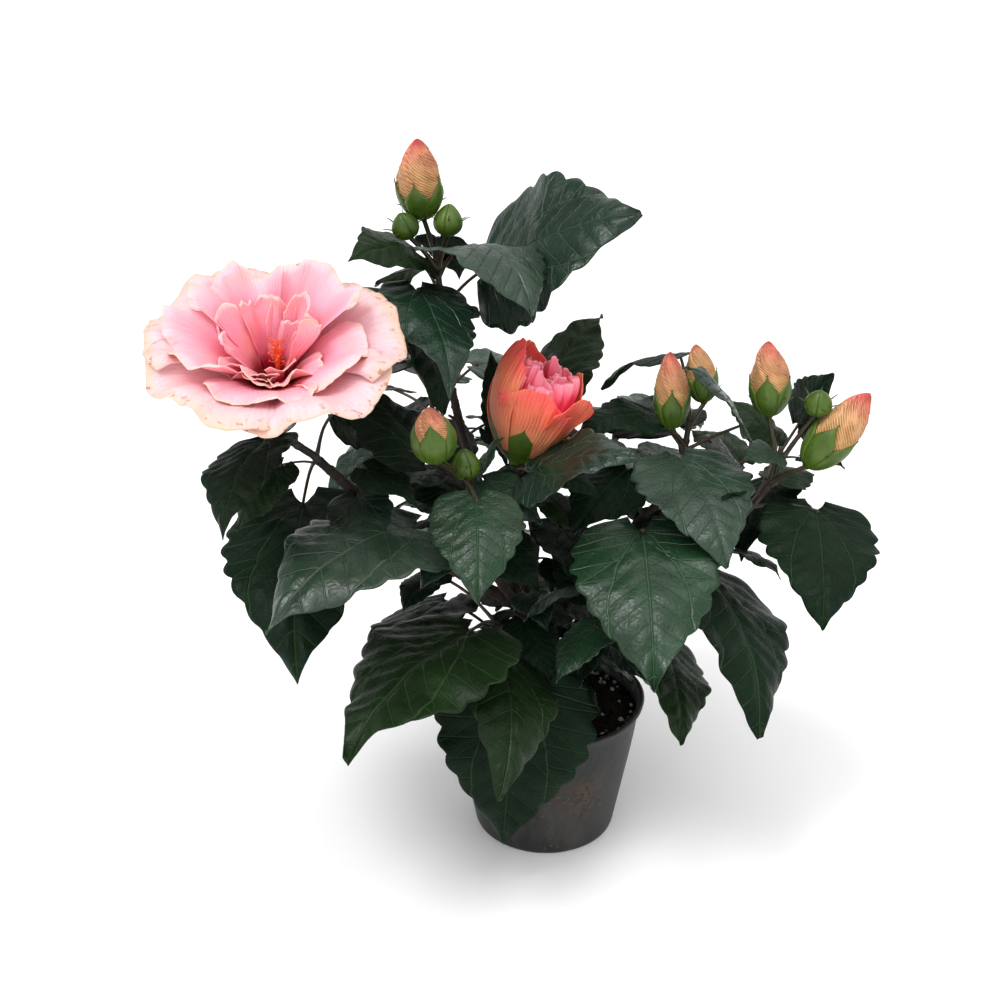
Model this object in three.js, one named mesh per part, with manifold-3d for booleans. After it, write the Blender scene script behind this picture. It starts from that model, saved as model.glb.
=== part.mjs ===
// A potted hibiscus shrub with one open double bloom, one opening bloom and ten buds.
// Millimetres, +Z up. The origin is the centre of the pot's flat underside, and -Y is the plant's front.
//
// Pot and soil carry a short trunk. Eight boughs fork from it, and each bough's tip carries one mass of
// leaves: a stem, the stalks that branch from it, and the leaves, buds and bloom fused on them.
// Three more masses sprout from the trunk itself. Every mass is one closed solid in its own space.

import * as THREE from 'three';
import { mergeVertices } from 'three/addons/utils/BufferGeometryUtils.js';
import Module from 'manifold-3d';

const wasm = await Module();
wasm.setup();

// ---- Driving dimensions -------------------------------------------------------------------------

const CLEARANCE = 0.3; // gap between neighbouring solids
const SLIVER = 0.06; // facets finer than this are merged into their neighbours

const pot = {
  rimRadius: 65, // a 13 cm nursery pot
  footRadius: 46,
  height: 93,
  wall: 1.6,
  floor: 2.4,
  lip: 2.2, // how far the rolled rim stands out
  lipDrop: 4,
  drainHoles: 5,
  drainRadius: 4,
  drainCircle: 32,
  facets: 32,
};

const soil = { top: 84, crown: 87, flat: 16 }; // surface at the wall, in the middle, and the level part

const leafForm = {
  rows: 4, // steps along a blade
  thickness: 1.25,
  lobe: 0.16, // how far the base lobes reach back past the stalk
  fold: -0.12, // how far the halves fall away from the midrib, as a share of their breadth
  tooth: 0.035, // depth of the marginal teeth
  stalkRadius: 1.1,
};

// Limbs: [x, y, z] points along the axis, and the radius at the foot and at the tip.
const trunk = {
  path: [[0, 0, 87.3], [0, 0, 97], [-1, 0, 112], [-6, 0, 133], [-20, 0, 163]],
  radii: [5.6, 4.4],
  flare: 0.6, // how much wider the foot is
};
const limbs = {
  bough_top: { path: [[-19, 0, 160], [-36, 10, 213], [-52, 15, 265], [-59, 12, 298]], radii: [3.4, 2.4] },
  bough_left: {
    path: [[-18, 0, 158], [-67, -20, 199], [-110, -50, 254], [-131, -62, 281]],
    radii: [3.6, 2.5],
  },
  bough_front: { path: [[-17, -1, 156], [-38, -27, 202], [-47, -44, 245]], radii: [3.0, 2.1] },
  bough_centre: { path: [[-14, 0, 150], [-8, 6, 198], [-14, -12, 236]], radii: [3.2, 2.4] },
  bough_right: { path: [[-6, 0, 131], [34, 12, 183], [68, 6, 226]], radii: [3.8, 2.6] },
  bough_outer: { path: [[-2, 0, 112], [58, -12, 163], [104, -22, 214]], radii: [3.6, 2.4] },
  bough_back_left: { path: [[-12, 1, 147], [-40, 38, 190], [-62, 62, 236]], radii: [3.2, 2.2] },
  bough_back_right: { path: [[-3, 0, 122], [16, 45, 164], [35, 76, 204]], radii: [3.2, 2.2] },
};

// Masses of leaves, one stem each. A stem goes on from its limb's tip, or sprouts from the trunk
// at the given share of its length.
//   leaves: base x, y, z; heading, pitch and roll of the blade in degrees; length; width / length; arch
//   buds: base x, y, z; heading and pitch; length; radius
//   bloom: base, heading and pitch of its axis, and whether it is fully open
//   fill: more leaves by the seeded rule: how many at most, on which part of the stem, the sector of headings
//         they take, their length and the seed
const masses = {
  leaves_top: {
    limb: 'bough_top',
    stem: [[-64, 5, 349], [-66, 0, 379], [-66, 0, 393]],
    radii: [2.3, 1.6],
    leaves: [
      [-77, -4, 384, -122, 8, -28, 60, 0.8, 0.12],
      [-55, -8, 387, -53, -17, -8, 78, 0.96, 0.22],
      [-36, 24, 372, -32, 24, 46, 104, 0.96, 0.05],
      [-76, -25, 370, -72, -29, -10, 80, 0.66, 0.1],
      [-92, 0, 357, -62, -33, -30, 86, 0.8, 0.1],
    ],
    buds: [[-73, 0, 403, -117, 78, 47, 13], [-81, -8, 395, -120, 60, 16, 7], [-60, -8, 395, 61, 78, 18, 7.5]],
    fill: { count: 4, from: 0.1, to: 0.9, heading: 20, sector: 170, length: 74, seed: 261 },
  },
  leaves_left: {
    limb: 'bough_left',
    stem: [[-144, -70, 295], [-154, -73, 303]],
    radii: [2.4, 1.9],
    leaves: [
      [-161, -60, 305, 147, 3, 5, 58, 0.8, 0.05],
      [-157, -75, 298, -101, -19, 14, 76, 0.64, 0.12],
      [-148, -18, 238, -88, -32, 6, 120, 0.74, 0.1],
      [-128, -18, 294, 41, -38, 40, 50, 0.84, 0.1],
    ],
    bloom: { base: [-152, -71, 305], axis: [-80, 66], open: true },
    fill: { count: 3, from: 0, to: 0.8, heading: 50, sector: 150, length: 66, seed: 243 },
  },
  leaves_front: {
    limb: 'bough_front',
    stem: [[-48, -51, 262], [-52, -58, 270]],
    radii: [2.1, 1.5],
    leaves: [
      [-75, -66, 243, -130, -10, -4, 116, 0.78, 0.14],
      [-70, -62, 281, 132, 22, 8, 72, 0.9, 0.08],
      [-43, -86, 269, -87, -36, 0, 64, 0.8, 0.08],
      [-55, -35, 251, 137, -1, -4, 62, 0.8, 0.08],
      [-43, -45, 262, -19, 62, 30, 32, 0.6, 0.08],
    ],
    buds: [[-64, -84, 288, -178, 83, 33, 12], [-48, -60, 269, 167, 81, 18, 7.5]],
  },
  leaves_centre: {
    limb: 'bough_centre',
    stem: [[-17, -22, 254], [-22, -29, 265]],
    radii: [2.3, 2.1],
    leaves: [
      [-25, 14, 267, 143, 77, -60, 54, 0.5, 0.05],
      [-5, 22, 289, 49, 34, -6, 74, 0.8, 0.08],
      [-14, -53, 270, -30, 20, 18, 72, 0.84, 0.08],
      [-17, -20, 257, -98, -26, 5, 36, 0.8, 0.1],
    ],
    bloom: { base: [-22, -30, 266], axis: [30, 69], open: false },
    fill: { count: 3, from: 0, to: 0.7, heading: 30, sector: 120, length: 66, seed: 25 },
  },
  leaves_right: {
    limb: 'bough_right',
    stem: [[80, -2, 254], [82, -2, 270], [84, 2, 282]],
    radii: [2.5, 1.7],
    leaves: [
      [80, 20, 316, 153, -27, 5, 60, 0.7, 0.12],
      [113, -14, 284, -154, 45, -20, 60, 0.8, 0.1],
      [60, 6, 285, -150, -6, -10, 52, 0.8, 0.12],
      [75, -28, 270, -74, -28, 0, 80, 0.86, 0.1],
      [48, 0, 251, -126, -21, -8, 62, 0.84, 0.1],
      [124, 28, 245, 132, 12, 0, 48, 0.8, 0.08],
    ],
    buds: [[72, -8, 280, 100, 85, 47, 10.5], [93, 8, 291, 100, 62, 36, 9.5]],
    fill: { count: 4, from: 0, to: 0.9, heading: 20, sector: 130, length: 74, seed: 54 },
  },
  leaves_outer: {
    limb: 'bough_outer',
    stem: [[117, -25, 233], [131, -30, 259], [134, -28, 276]],
    radii: [2.3, 1.6],
    leaves: [
      [154, 22, 272, -59, 59, 80, 46, 0.9, 0.05],
      [130, -34, 275, -140, 7, -24, 30, 0.8, 0.1],
      [143, 22, 236, -120, -27, 26, 66, 0.8, 0.1],
      [157, -30, 238, -97, -31, -8, 82, 0.84, 0.1],
      [94, -40, 200, -78, -29, -28, 108, 0.78, 0.1],
      [139, 6, 264, 141, 33, 0, 44, 0.8, 0.08],
    ],
    buds: [[127, -20, 292, 87, 76, 44, 12], [150, -38, 300, -90, 72, 16, 7], [145, -44, 270, 7, 50, 55, 13]],
    fill: { count: 4, from: 0, to: 0.9, heading: 40, sector: 130, length: 60, seed: 2 },
  },
  leaves_low_left: {
    sprout: 0.34,
    stem: [[-24, -20, 138], [-32, -28, 160]],
    radii: [2.4, 1.6],
    leaves: [
      [-46, -72, 179, -130, -16, 5, 112, 0.86, 0.1],
      [-64, 12, 156, -124, -17, 18, 88, 0.8, 0.1],
      [-33, -56, 160, -86, -25, -30, 102, 0.68, 0.12],
      [-18, -54, 138, -105, -68, -8, 104, 0.92, 0.06],
      [-69, -30, 196, -122, -12, 8, 38, 0.8, 0.05],
    ],
  },
  leaves_low_right: {
    sprout: 0.2,
    stem: [[22, -24, 136], [32, -34, 172], [36, -38, 208]],
    radii: [2.6, 1.6],
    leaves: [
      [51, -60, 239, -88, -33, 4, 102, 0.8, 0.1],
      [70, -30, 149, -85, -26, -28, 72, 0.76, 0.1],
      [35, -30, 160, -116, -27, 35, 46, 0.75, 0.08],
      [28, -66, 179, -136, -28, 8, 44, 0.8, 0.08],
      [7, 0, 215, -72, -27, -18, 60, 0.8, 0.1],
      [24, -22, 175, 115, 40, 0, 56, 0.6, 0.06],
    ],
  },
  leaves_back_left: {
    limb: 'bough_back_left',
    stem: [[-73, 73, 258], [-77, 77, 284]],
    radii: [2.1, 1.4],
    fill: { count: 8, from: 0, to: 1, heading: 25, sector: 165, length: 84, seed: 223 },
  },
  leaves_back_right: {
    limb: 'bough_back_right',
    stem: [[44, 88, 222], [48, 93, 242]],
    radii: [2.1, 1.4],
    fill: { count: 8, from: 0, to: 1, heading: -20, sector: 175, length: 78, seed: 87 },
  },
  leaves_low_back: {
    sprout: 0.15,
    stem: [[6, 26, 132], [2, 38, 166]],
    radii: [2.4, 1.5],
    fill: { count: 7, from: 0.35, to: 1, heading: 5, sector: 170, length: 92, seed: 141 },
  },
};

// ---- Shared helpers -----------------------------------------------------------------------------

const vector = (point) => new THREE.Vector3(...point);
const radians = THREE.MathUtils.degToRad;

/** The unit vector at a heading round +Z from +X and a pitch above the horizontal, in degrees. */
function direction(heading, pitch) {
  const [h, p] = [radians(heading), radians(pitch)];
  return new THREE.Vector3(Math.cos(p) * Math.cos(h), Math.cos(p) * Math.sin(h), Math.sin(p));
}

/** A frame with d along the heading and pitch, and side and up turned about d by the roll. */
function frameOf(heading, pitch, roll = 0) {
  const d = direction(heading, pitch);
  const level = new THREE.Vector3(-Math.sin(radians(heading)), Math.cos(radians(heading)), 0);
  const side = level.applyAxisAngle(d, radians(roll));
  return { d, side, up: d.clone().cross(side) };
}

/** A repeatable run of numbers from 0 to 1. */
function randomRun(seed) {
  let state = seed;
  return () => {
    state = (state * 16807) % 2147483647;
    return state / 2147483647;
  };
}

/** Moves every vertex of a geometry to place(x, y, z), which returns a Vector3. */
function warp(geometry, place) {
  const position = geometry.attributes.position;
  for (let i = 0; i < position.count; i += 1) {
    const p = place(position.getX(i), position.getY(i), position.getZ(i));
    position.setXYZ(i, p.x, p.y, p.z);
  }
  return geometry;
}

/** A closed geometry as a solid. A warp that mirrors the shape is turned the right way out. */
function solidOf(geometry) {
  const bare = geometry.clone();
  bare.deleteAttribute('normal');
  bare.deleteAttribute('uv');
  const merged = mergeVertices(bare, 1e-4);
  const vertProperties = merged.attributes.position.array;
  const triVerts = new Uint32Array(merged.index.array);
  const made = new wasm.Manifold(new wasm.Mesh({ numProp: 3, vertProperties, triVerts }));
  return made.volume() > 0 ? made : new wasm.Manifold(
    new wasm.Mesh({ numProp: 3, vertProperties, triVerts: triVerts.slice().reverse() }),
  );
}

const joined = (solids) => solids.reduce((sum, solid) => sum.add(solid));
const cut = (solid, tools) => tools.reduce((rest, tool) => rest.subtract(tool), solid);

/** The largest closed body of a solid: loose scraps are dropped and sealed hollows are filled. */
function wholeBody(solid) {
  const largest = solid.decompose().reduce((best, body) => (body.volume() > best.volume() ? body : best));
  return largest.simplify(SLIVER);
}

function meshOf(name, solid, material) {
  const { vertProperties, triVerts } = solid.getMesh();
  const geometry = new THREE.BufferGeometry();
  geometry.setAttribute('position', new THREE.BufferAttribute(vertProperties, 3));
  geometry.setIndex(new THREE.BufferAttribute(triVerts, 1));
  geometry.computeVertexNormals();
  const mesh = new THREE.Mesh(geometry, material);
  mesh.name = name;
  return mesh;
}

// ---- Limbs and stalks ---------------------------------------------------------------------------

const curveOf = (path) => new THREE.CatmullRomCurve3(path.map(vector), false, 'catmullrom');

/**
 * A round limb along a curve, its radius given by radiusAt(t) for t from 0 to 1. Grown by a margin,
 * it is that much fatter and longer at both ends.
 */
function limbGeometry(curve, radiusAt, sides, rows, grow = 0) {
  const chord = curve.getPoint(1).sub(curve.getPoint(0));
  const across = vector(Math.abs(chord.x) < Math.abs(chord.y) ? [1, 0, 0] : [0, 1, 0]);
  return warp(new THREE.CylinderGeometry(1, 1, 1, sides, rows), (x, y, z) => {
    const t = THREE.MathUtils.clamp(y + 0.5, 0, 1);
    const along = curve.getTangent(t);
    const first = across.clone().addScaledVector(along, -across.dot(along)).normalize();
    const second = along.clone().cross(first);
    const r = radiusAt(t) + grow;
    const push = t < 0.001 ? -grow : t > 0.999 ? grow : 0;
    return curve.getPoint(t)
      .addScaledVector(along, push)
      .addScaledVector(first, x * r)
      .addScaledVector(second, z * r);
  });
}

const taper = (radii) => (t) => THREE.MathUtils.lerp(radii[0], radii[1], t);

/** The trunk swells over its lowest part into a root flare. */
const trunkRadius = (t) => taper(trunk.radii)(t) * (1 + trunk.flare * Math.exp(-14 * t));

const trunkSolid = (grow = 0) => solidOf(limbGeometry(curveOf(trunk.path), trunkRadius, 10, 8, grow));
const limbSolid = (limb, grow = 0) => (
  solidOf(limbGeometry(curveOf(limb.path), taper(limb.radii), 7, 6, grow))
);

// ---- Leaves -------------------------------------------------------------------------------------

/** Names the numbers of a leaf's row, and works out its frame. */
function leafOf([x, y, z, heading, pitch, roll, length, width, arch]) {
  return { base: new THREE.Vector3(x, y, z), length, width, arch, ...frameOf(heading, pitch, roll) };
}

/** Half the blade's breadth at s, as a share of its greatest: broad at a third, drawn out to a point. */
const bladeOutline = (s) => 2.8 * Math.sqrt(s + 0.004) * (1.012 - s) ** 1.25;

/** A point of a leaf's surface, at s from stalk to tip and u from -1 to 1 across. */
function leafPoint(leaf, s, u) {
  const tooth = 1 + leafForm.tooth * Math.cos(Math.PI * leafForm.rows * s);
  const breadth = 0.5 * leaf.length * leaf.width * bladeOutline(s) * tooth;
  const along = leaf.length * (s - leafForm.lobe * Math.abs(u) * (1 - s) ** 4);
  const lift = 4 * leaf.length * leaf.arch * s * (1 - s) + leafForm.fold * Math.abs(u) * breadth;
  return leaf.base.clone()
    .addScaledVector(leaf.d, along)
    .addScaledVector(leaf.side, u * breadth)
    .addScaledVector(leaf.up, lift);
}

function bladeSolid(leaf) {
  const sheet = new THREE.BoxGeometry(2, 1, 1, 2, leafForm.rows, 1);
  return solidOf(warp(sheet, (x, y, z) => (
    leafPoint(leaf, y + 0.5, x).addScaledVector(leaf.up, z * leafForm.thickness)
  )));
}

/** A three-sided stalk from a stem to its end, which is sunk in what it carries. */
function stalkSolid(from, to, radius) {
  return solidOf(limbGeometry(new THREE.LineCurve3(from, to), taper([1.1 * radius, 0.55 * radius]), 3, 1));
}

const FIRST_JOINT = 0.15; // share of a stem that carries no stalk
const JOINT_STEPS = 17;

/** The point of a stem that a stalk to the given place branches from. */
function jointOn(curve, place) {
  const low = place.clone().setZ(place.z - 0.5 * curve.getPoint(0.5).distanceTo(place));
  const at = (i) => curve.getPoint(THREE.MathUtils.lerp(FIRST_JOINT, 1, i / JOINT_STEPS));
  const points = Array.from({ length: JOINT_STEPS + 1 }, (_, i) => at(i));
  return points.reduce((best, point) => (point.distanceTo(low) < best.distanceTo(low) ? point : best));
}

// ---- Buds and blooms ----------------------------------------------------------------------------

const budForm = { calyxEdge: 0.42, lobeDepth: 0.1, calyxThickness: 0.9, stalkRadius: 1.5 };

/** A closed bud: an egg drawn out to its tip, with the five-lobed calyx standing proud of its lower half. */
function budSolid([x, y, z, heading, pitch, length, radius]) {
  const frame = frameOf(heading, pitch);
  const base = new THREE.Vector3(x, y, z);
  return solidOf(warp(new THREE.SphereGeometry(1, 10, 6), (px, py, pz) => {
    const t = 0.5 - 0.5 * py;
    const turn = Math.atan2(pz, px);
    const round = Math.sin(Math.PI * t ** 0.8) ** 0.7;
    const edge = budForm.calyxEdge + budForm.lobeDepth * Math.cos(5 * turn);
    const r = t > 0 && t < 1 ? radius * round + (t < edge ? budForm.calyxThickness : 0) : 0;
    return base.clone()
      .addScaledVector(frame.d, t * length)
      .addScaledVector(frame.side, r * Math.cos(turn))
      .addScaledVector(frame.up, r * Math.sin(turn));
  }));
}

// Rings of petals: how many, reach and rise of the edge, curl back, half spread in degrees, ruffle.
const openRings = [
  { count: 5, turn: 10, reach: 67, rise: 54, curl: 8, spread: 42, ruffle: 4 },
  { count: 5, turn: 46, reach: 52, rise: 62, curl: 6, spread: 33, ruffle: 5 },
  { count: 3, turn: 20, reach: 30, rise: 56, curl: 2, spread: 40, ruffle: 5 },
];
const openingForm = { radius: 26, height: 62, petals: 5, spread: 50, core: 20 };
const calyxForm = { length: 20, foot: 3.2, mouth: 9 };
const petalThickness = 1.3;

/** A point of an open bloom's petal, at s from the throat to the edge and u from -1 to 1 across. */
function openPetalPoint(frame, ring, index, s, u) {
  const turn = radians(ring.turn + (360 / ring.count) * index + u * ring.spread);
  const reach = 4 + (ring.reach - 4) * s * (1 - 0.16 * Math.abs(u) ** 3);
  const wave = ring.ruffle * s * s * Math.cos(2.5 * Math.PI * u + 2 * index);
  const height = calyxForm.length - 3 + ring.rise * s ** 0.6 - ring.curl * s ** 4 + wave;
  return petalPlace(frame, turn, reach, height);
}

/** A point of an opening bloom's petal: the petals wrap round each other into a barrel. */
function openingPetalPoint(frame, index, s, u) {
  const turn = radians((360 / openingForm.petals) * index + u * openingForm.spread);
  const swell = Math.sin(Math.PI * (0.12 + 0.68 * s)) ** 0.8;
  const lap = 1.2 * u + 0.8;
  const reach = openingForm.radius * swell + lap;
  return petalPlace(frame, turn, reach, calyxForm.length * 0.4 + openingForm.height * s * (1 - 0.1 * u * u));
}

function petalPlace(frame, turn, reach, height) {
  return frame.base.clone()
    .addScaledVector(frame.d, height)
    .addScaledVector(frame.side, reach * Math.cos(turn))
    .addScaledVector(frame.up, reach * Math.sin(turn));
}

function petalSolid(frame, pointAt) {
  const sheet = new THREE.BoxGeometry(2, 1, 1, 3, 3, 1);
  return solidOf(warp(sheet, (x, y, z) => {
    const [s, u] = [Math.max(y + 0.5, 0), x];
    const along = pointAt(s + 0.01, u).sub(pointAt(s, u));
    const across = pointAt(s, u + 0.01).sub(pointAt(s, u - 0.01));
    return pointAt(s, u).addScaledVector(along.cross(across).normalize(), z * petalThickness);
  }));
}

function bloomSolid({ base, axis, open }) {
  const frame = { ...frameOf(...axis), base: vector(base) };
  const { length, foot, mouth } = calyxForm;
  const calyxAxis = new THREE.LineCurve3(frame.base, frame.base.clone().addScaledVector(frame.d, length));
  const parts = [solidOf(limbGeometry(calyxAxis, taper([foot, mouth]), 10, 2))];
  if (open) {
    for (const ring of openRings) {
      for (let i = 0; i < ring.count; i += 1) {
        parts.push(petalSolid(frame, (s, u) => openPetalPoint(frame, ring, i, s, u)));
      }
    }
  } else {
    const { core, height } = openingForm;
    parts.push(solidOf(warp(new THREE.SphereGeometry(1, 10, 8), (x, y, z) => (
      frame.base.clone()
        .addScaledVector(frame.d, calyxForm.length * 0.4 + height * (0.45 + 0.42 * y))
        .addScaledVector(frame.side, core * x)
        .addScaledVector(frame.up, core * z)
    ))));
    for (let i = 0; i < openingForm.petals; i += 1) {
      parts.push(petalSolid(frame, (s, u) => openingPetalPoint(frame, i, s, u)));
    }
  }
  return joined(parts);
}

// ---- The seeded rule for the leaves that fill a mass ----------------------------------------------

const fillRule = {
  tries: 150, // places tried for each leaf that is wanted
  stalk: [22, 20], // least length of a leaf stalk, and the random part
  rise: [5, 45], // least pitch of a stalk, and the random part
  droop: [8, 38], // least droop of a blade, and the random part
  turn: 40, // how far a blade may swing from its stalk's heading, in all
  roll: 50, // how far it may roll, in all
  size: [0.8, 0.3], // least share of the mass's leaf length, and the random part
  width: 0.8,
  arch: 0.1,
  gap: 13, // clear distance from every limb, leaf and petal
  floor: 60, // no leaf hangs lower
};

const probeRows = [0.05, 0.25, 0.45, 0.65, 0.85, 1.0];
const probeColumns = [-1, -0.5, 0, 0.5, 1];
const limbSteps = 20;

const leafProbes = (leaf) => probeRows.flatMap((s) => probeColumns.map((u) => leafPoint(leaf, s, u)));
const curveProbes = (curve) => Array.from({ length: limbSteps + 1 }, (_, i) => curve.getPoint(i / limbSteps));

/** Leaves along a stem. Each try is kept only where it is clear of every point in taken. */
function fillLeaves(curve, fill, taken) {
  const random = randomRun(fill.seed * 7919);
  const between = ([least, more]) => least + more * random();
  const kept = [];
  for (let i = 0; i < fill.count * fillRule.tries && kept.length < fill.count; i += 1) {
    const joint = curve.getPoint(between([fill.from, fill.to - fill.from]));
    const heading = between([fill.heading, fill.sector]);
    const base = joint.addScaledVector(direction(heading, between(fillRule.rise)), between(fillRule.stalk));
    const blade = heading + fillRule.turn * (random() - 0.5);
    const pitch = -between(fillRule.droop);
    const roll = fillRule.roll * (random() - 0.5);
    const length = fill.length * between(fillRule.size);
    const leaf = leafOf([base.x, base.y, base.z, blade, pitch, roll, length, fillRule.width, fillRule.arch]);
    const probes = leafProbes(leaf);
    if (probes.every((p) => p.z > fillRule.floor && taken.every((q) => p.distanceTo(q) > fillRule.gap))) {
      kept.push(leaf);
      taken.push(...probes);
    }
  }
  return kept;
}

// ---- Pot and soil -------------------------------------------------------------------------------

const ring = (points) => points.map(([r, z]) => new THREE.Vector2(r, z));

/** A turned solid about +Z, from its [radius, height] profile. */
function turned(points, facets) {
  return solidOf(new THREE.LatheGeometry(ring(points), facets).rotateX(Math.PI / 2));
}

/** The radius of the pot's outer wall at a height. */
const potRadius = (z) => THREE.MathUtils.lerp(pot.footRadius, pot.rimRadius - pot.lip, z / pot.height);

function potSolid() {
  const { height, wall, floor, lip, lipDrop } = pot;
  const neck = height - lipDrop;
  const shell = turned([
    [0, 0], [pot.footRadius, 0], [potRadius(neck), neck], [potRadius(neck) + lip, neck],
    [pot.rimRadius, height], [potRadius(height) - wall, height], [potRadius(floor) - wall, floor], [0, floor],
  ], pot.facets);
  const holes = Array.from({ length: pot.drainHoles }, (_, i) => {
    const turn = (2 * Math.PI * i) / pot.drainHoles;
    const drill = new THREE.CylinderGeometry(pot.drainRadius, pot.drainRadius, 3 * floor, 8);
    const [x, y] = [pot.drainCircle * Math.cos(turn), pot.drainCircle * Math.sin(turn)];
    return solidOf(drill.rotateX(Math.PI / 2).translate(x, y, 0));
  });
  return cut(shell, holes);
}

function soilSolid() {
  const low = pot.floor + CLEARANCE;
  const inside = (z) => potRadius(z) - pot.wall - CLEARANCE - 0.2;
  return turned([
    [0, low], [inside(low), low], [inside(soil.top), soil.top], [0.55 * inside(soil.top), soil.crown - 0.8],
    [soil.flat, soil.crown], [0, soil.crown],
  ], pot.facets);
}

// ---- Assembly -----------------------------------------------------------------------------------

/** A mass's stem goes straight on from its limb's tip, or starts inside the trunk it sprouts from. */
function stemCurve({ limb, sprout, stem }) {
  if (!limb) return curveOf([curveOf(trunk.path).getPoint(sprout).toArray(), ...stem]);
  const bough = curveOf(limbs[limb].path);
  const [tip, along] = [bough.getPoint(1), bough.getTangent(1)];
  const first = tip.clone().addScaledVector(along, CLEARANCE);
  return curveOf([first.toArray(), tip.addScaledVector(along, 6).toArray(), ...stem]);
}

/** Points all over the wood, placed leaves, buds and petals, which the filling leaves keep clear of. */
function takenPoints() {
  const points = [trunk, ...Object.values(limbs)].flatMap(({ path }) => curveProbes(curveOf(path)));
  for (const mass of Object.values(masses)) {
    points.push(...curveProbes(stemCurve(mass)));
    points.push(...(mass.leaves ?? []).flatMap((row) => leafProbes(leafOf(row))));
    for (const [x, y, z, heading, pitch, length] of mass.buds ?? []) {
      const tip = direction(heading, pitch).multiplyScalar(length);
      points.push(...[0, 0.5, 1].map((t) => new THREE.Vector3(x, y, z).addScaledVector(tip, t)));
    }
    if (mass.bloom) points.push(...bloomProbes(mass.bloom));
  }
  return points;
}

function bloomProbes({ base, axis, open }) {
  const frame = { ...frameOf(...axis), base: vector(base) };
  const turns = Array.from({ length: 20 }, (_, i) => i);
  return turns.flatMap((i) => [0.2, 0.5, 0.75, 1].map((s) => (
    open ? openPetalPoint(frame, openRings[0], i / 4, s, 0) : openingPetalPoint(frame, i / 4, s, 0)
  )));
}

/** One mass as a single closed solid, cut clear of the limb or trunk that carries it. */
function massSolid(mass, taken) {
  const curve = stemCurve(mass);
  const leaves = (mass.leaves ?? []).map(leafOf);
  if (mass.fill) leaves.push(...fillLeaves(curve, mass.fill, taken));
  const parts = [solidOf(limbGeometry(curve, taper(mass.radii), 6, 5))];
  for (const leaf of leaves) {
    const end = leafPoint(leaf, 0.05, 0);
    parts.push(bladeSolid(leaf), stalkSolid(jointOn(curve, leaf.base), end, leafForm.stalkRadius));
  }
  for (const row of mass.buds ?? []) {
    const end = new THREE.Vector3(row[0], row[1], row[2]).addScaledVector(direction(row[3], row[4]), 1.5);
    parts.push(budSolid(row), stalkSolid(jointOn(curve, end), end, budForm.stalkRadius));
  }
  if (mass.bloom) parts.push(bloomSolid(mass.bloom));
  const carrier = mass.limb ? limbSolid(limbs[mass.limb], CLEARANCE) : trunkSolid(CLEARANCE);
  return wholeBody(joined(parts).subtract(carrier));
}

const finish = (color, roughness) => new THREE.MeshStandardMaterial({ color, roughness, metalness: 0 });
const bark = finish(0x3a2c22, 0.85);
const foliage = finish(0x1f3b24, 0.5);

const shrub = new THREE.Group();
shrub.add(meshOf('pot', potSolid(), finish(0x4a4b4d, 0.55)));
shrub.add(meshOf('soil', soilSolid(), finish(0x1b1613, 0.95)));
shrub.add(meshOf('trunk', trunkSolid(), bark));

const woodTools = [trunkSolid(CLEARANCE)];
for (const [name, limb] of Object.entries(limbs)) {
  shrub.add(meshOf(name, wholeBody(cut(limbSolid(limb), woodTools)), bark));
  woodTools.push(limbSolid(limb, CLEARANCE));
}

const taken = takenPoints();
for (const [name, mass] of Object.entries(masses)) {
  shrub.add(meshOf(name, massSolid(mass, taken), foliage));
}

export default shrub;
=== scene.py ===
"""A potted hibiscus shrub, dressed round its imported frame.

Sizes in the classes are millimetres and become metres where a mesh is finished. +Z is up, and -Y is
the plant's front. Each mass of leaves grows from its limb by the same rule as its solid, and carries
finer leaves, stalks, buds and petals within the same reach.

On a sheet, such as a blade or a petal, s runs from 0 at its foot to 1 at its tip, and u from -1 to 1
across it. On a limb, t runs from 0 to 1 along it, and turn is an angle round it in radians.
"""

import sys
import logging
import math
from dataclasses import dataclass, field
from enum import Enum
from functools import partial
from typing import Callable, Iterable, Optional, Sequence, Union

import bmesh
import bpy
from mathutils import Matrix, Vector, kdtree, noise


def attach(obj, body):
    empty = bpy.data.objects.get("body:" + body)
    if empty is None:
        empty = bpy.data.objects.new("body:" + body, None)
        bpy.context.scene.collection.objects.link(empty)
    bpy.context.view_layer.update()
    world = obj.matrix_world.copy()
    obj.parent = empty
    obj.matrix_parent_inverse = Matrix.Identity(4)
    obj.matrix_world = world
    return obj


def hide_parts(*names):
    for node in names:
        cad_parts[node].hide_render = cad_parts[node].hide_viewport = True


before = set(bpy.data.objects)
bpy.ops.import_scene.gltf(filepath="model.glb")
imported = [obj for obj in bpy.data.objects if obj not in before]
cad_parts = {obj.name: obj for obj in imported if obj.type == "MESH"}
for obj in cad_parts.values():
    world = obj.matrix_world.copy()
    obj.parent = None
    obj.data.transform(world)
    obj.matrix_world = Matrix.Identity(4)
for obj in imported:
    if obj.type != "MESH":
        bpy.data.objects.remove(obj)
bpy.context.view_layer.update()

LOG = logging.getLogger("hibiscus")
MM = 0.001
BODY = "root"
Point = tuple[float, float, float]
Pair = tuple[float, float]
Place = Callable[[float, float], Vector]


# ---- Numbers and curves ---------------------------------------------------------------------------


def lerp(low: float, high: float, share: float) -> float:
    """The value at a share of the way from low to high."""
    return low + (high - low) * share


def smooth(low: float, high: float, value: float) -> float:
    """0 below low, 1 above high, and an even swing between them."""
    t = min(max((value - low) / (high - low), 0.0), 1.0)
    return t * t * (3 - 2 * t)


def direction(heading: float, pitch: float) -> Vector:
    """The unit vector at a heading round +Z from +X and a pitch above level, in degrees."""
    h, p = math.radians(heading), math.radians(pitch)
    return Vector((math.cos(p) * math.cos(h), math.cos(p) * math.sin(h), math.sin(p)))


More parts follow.
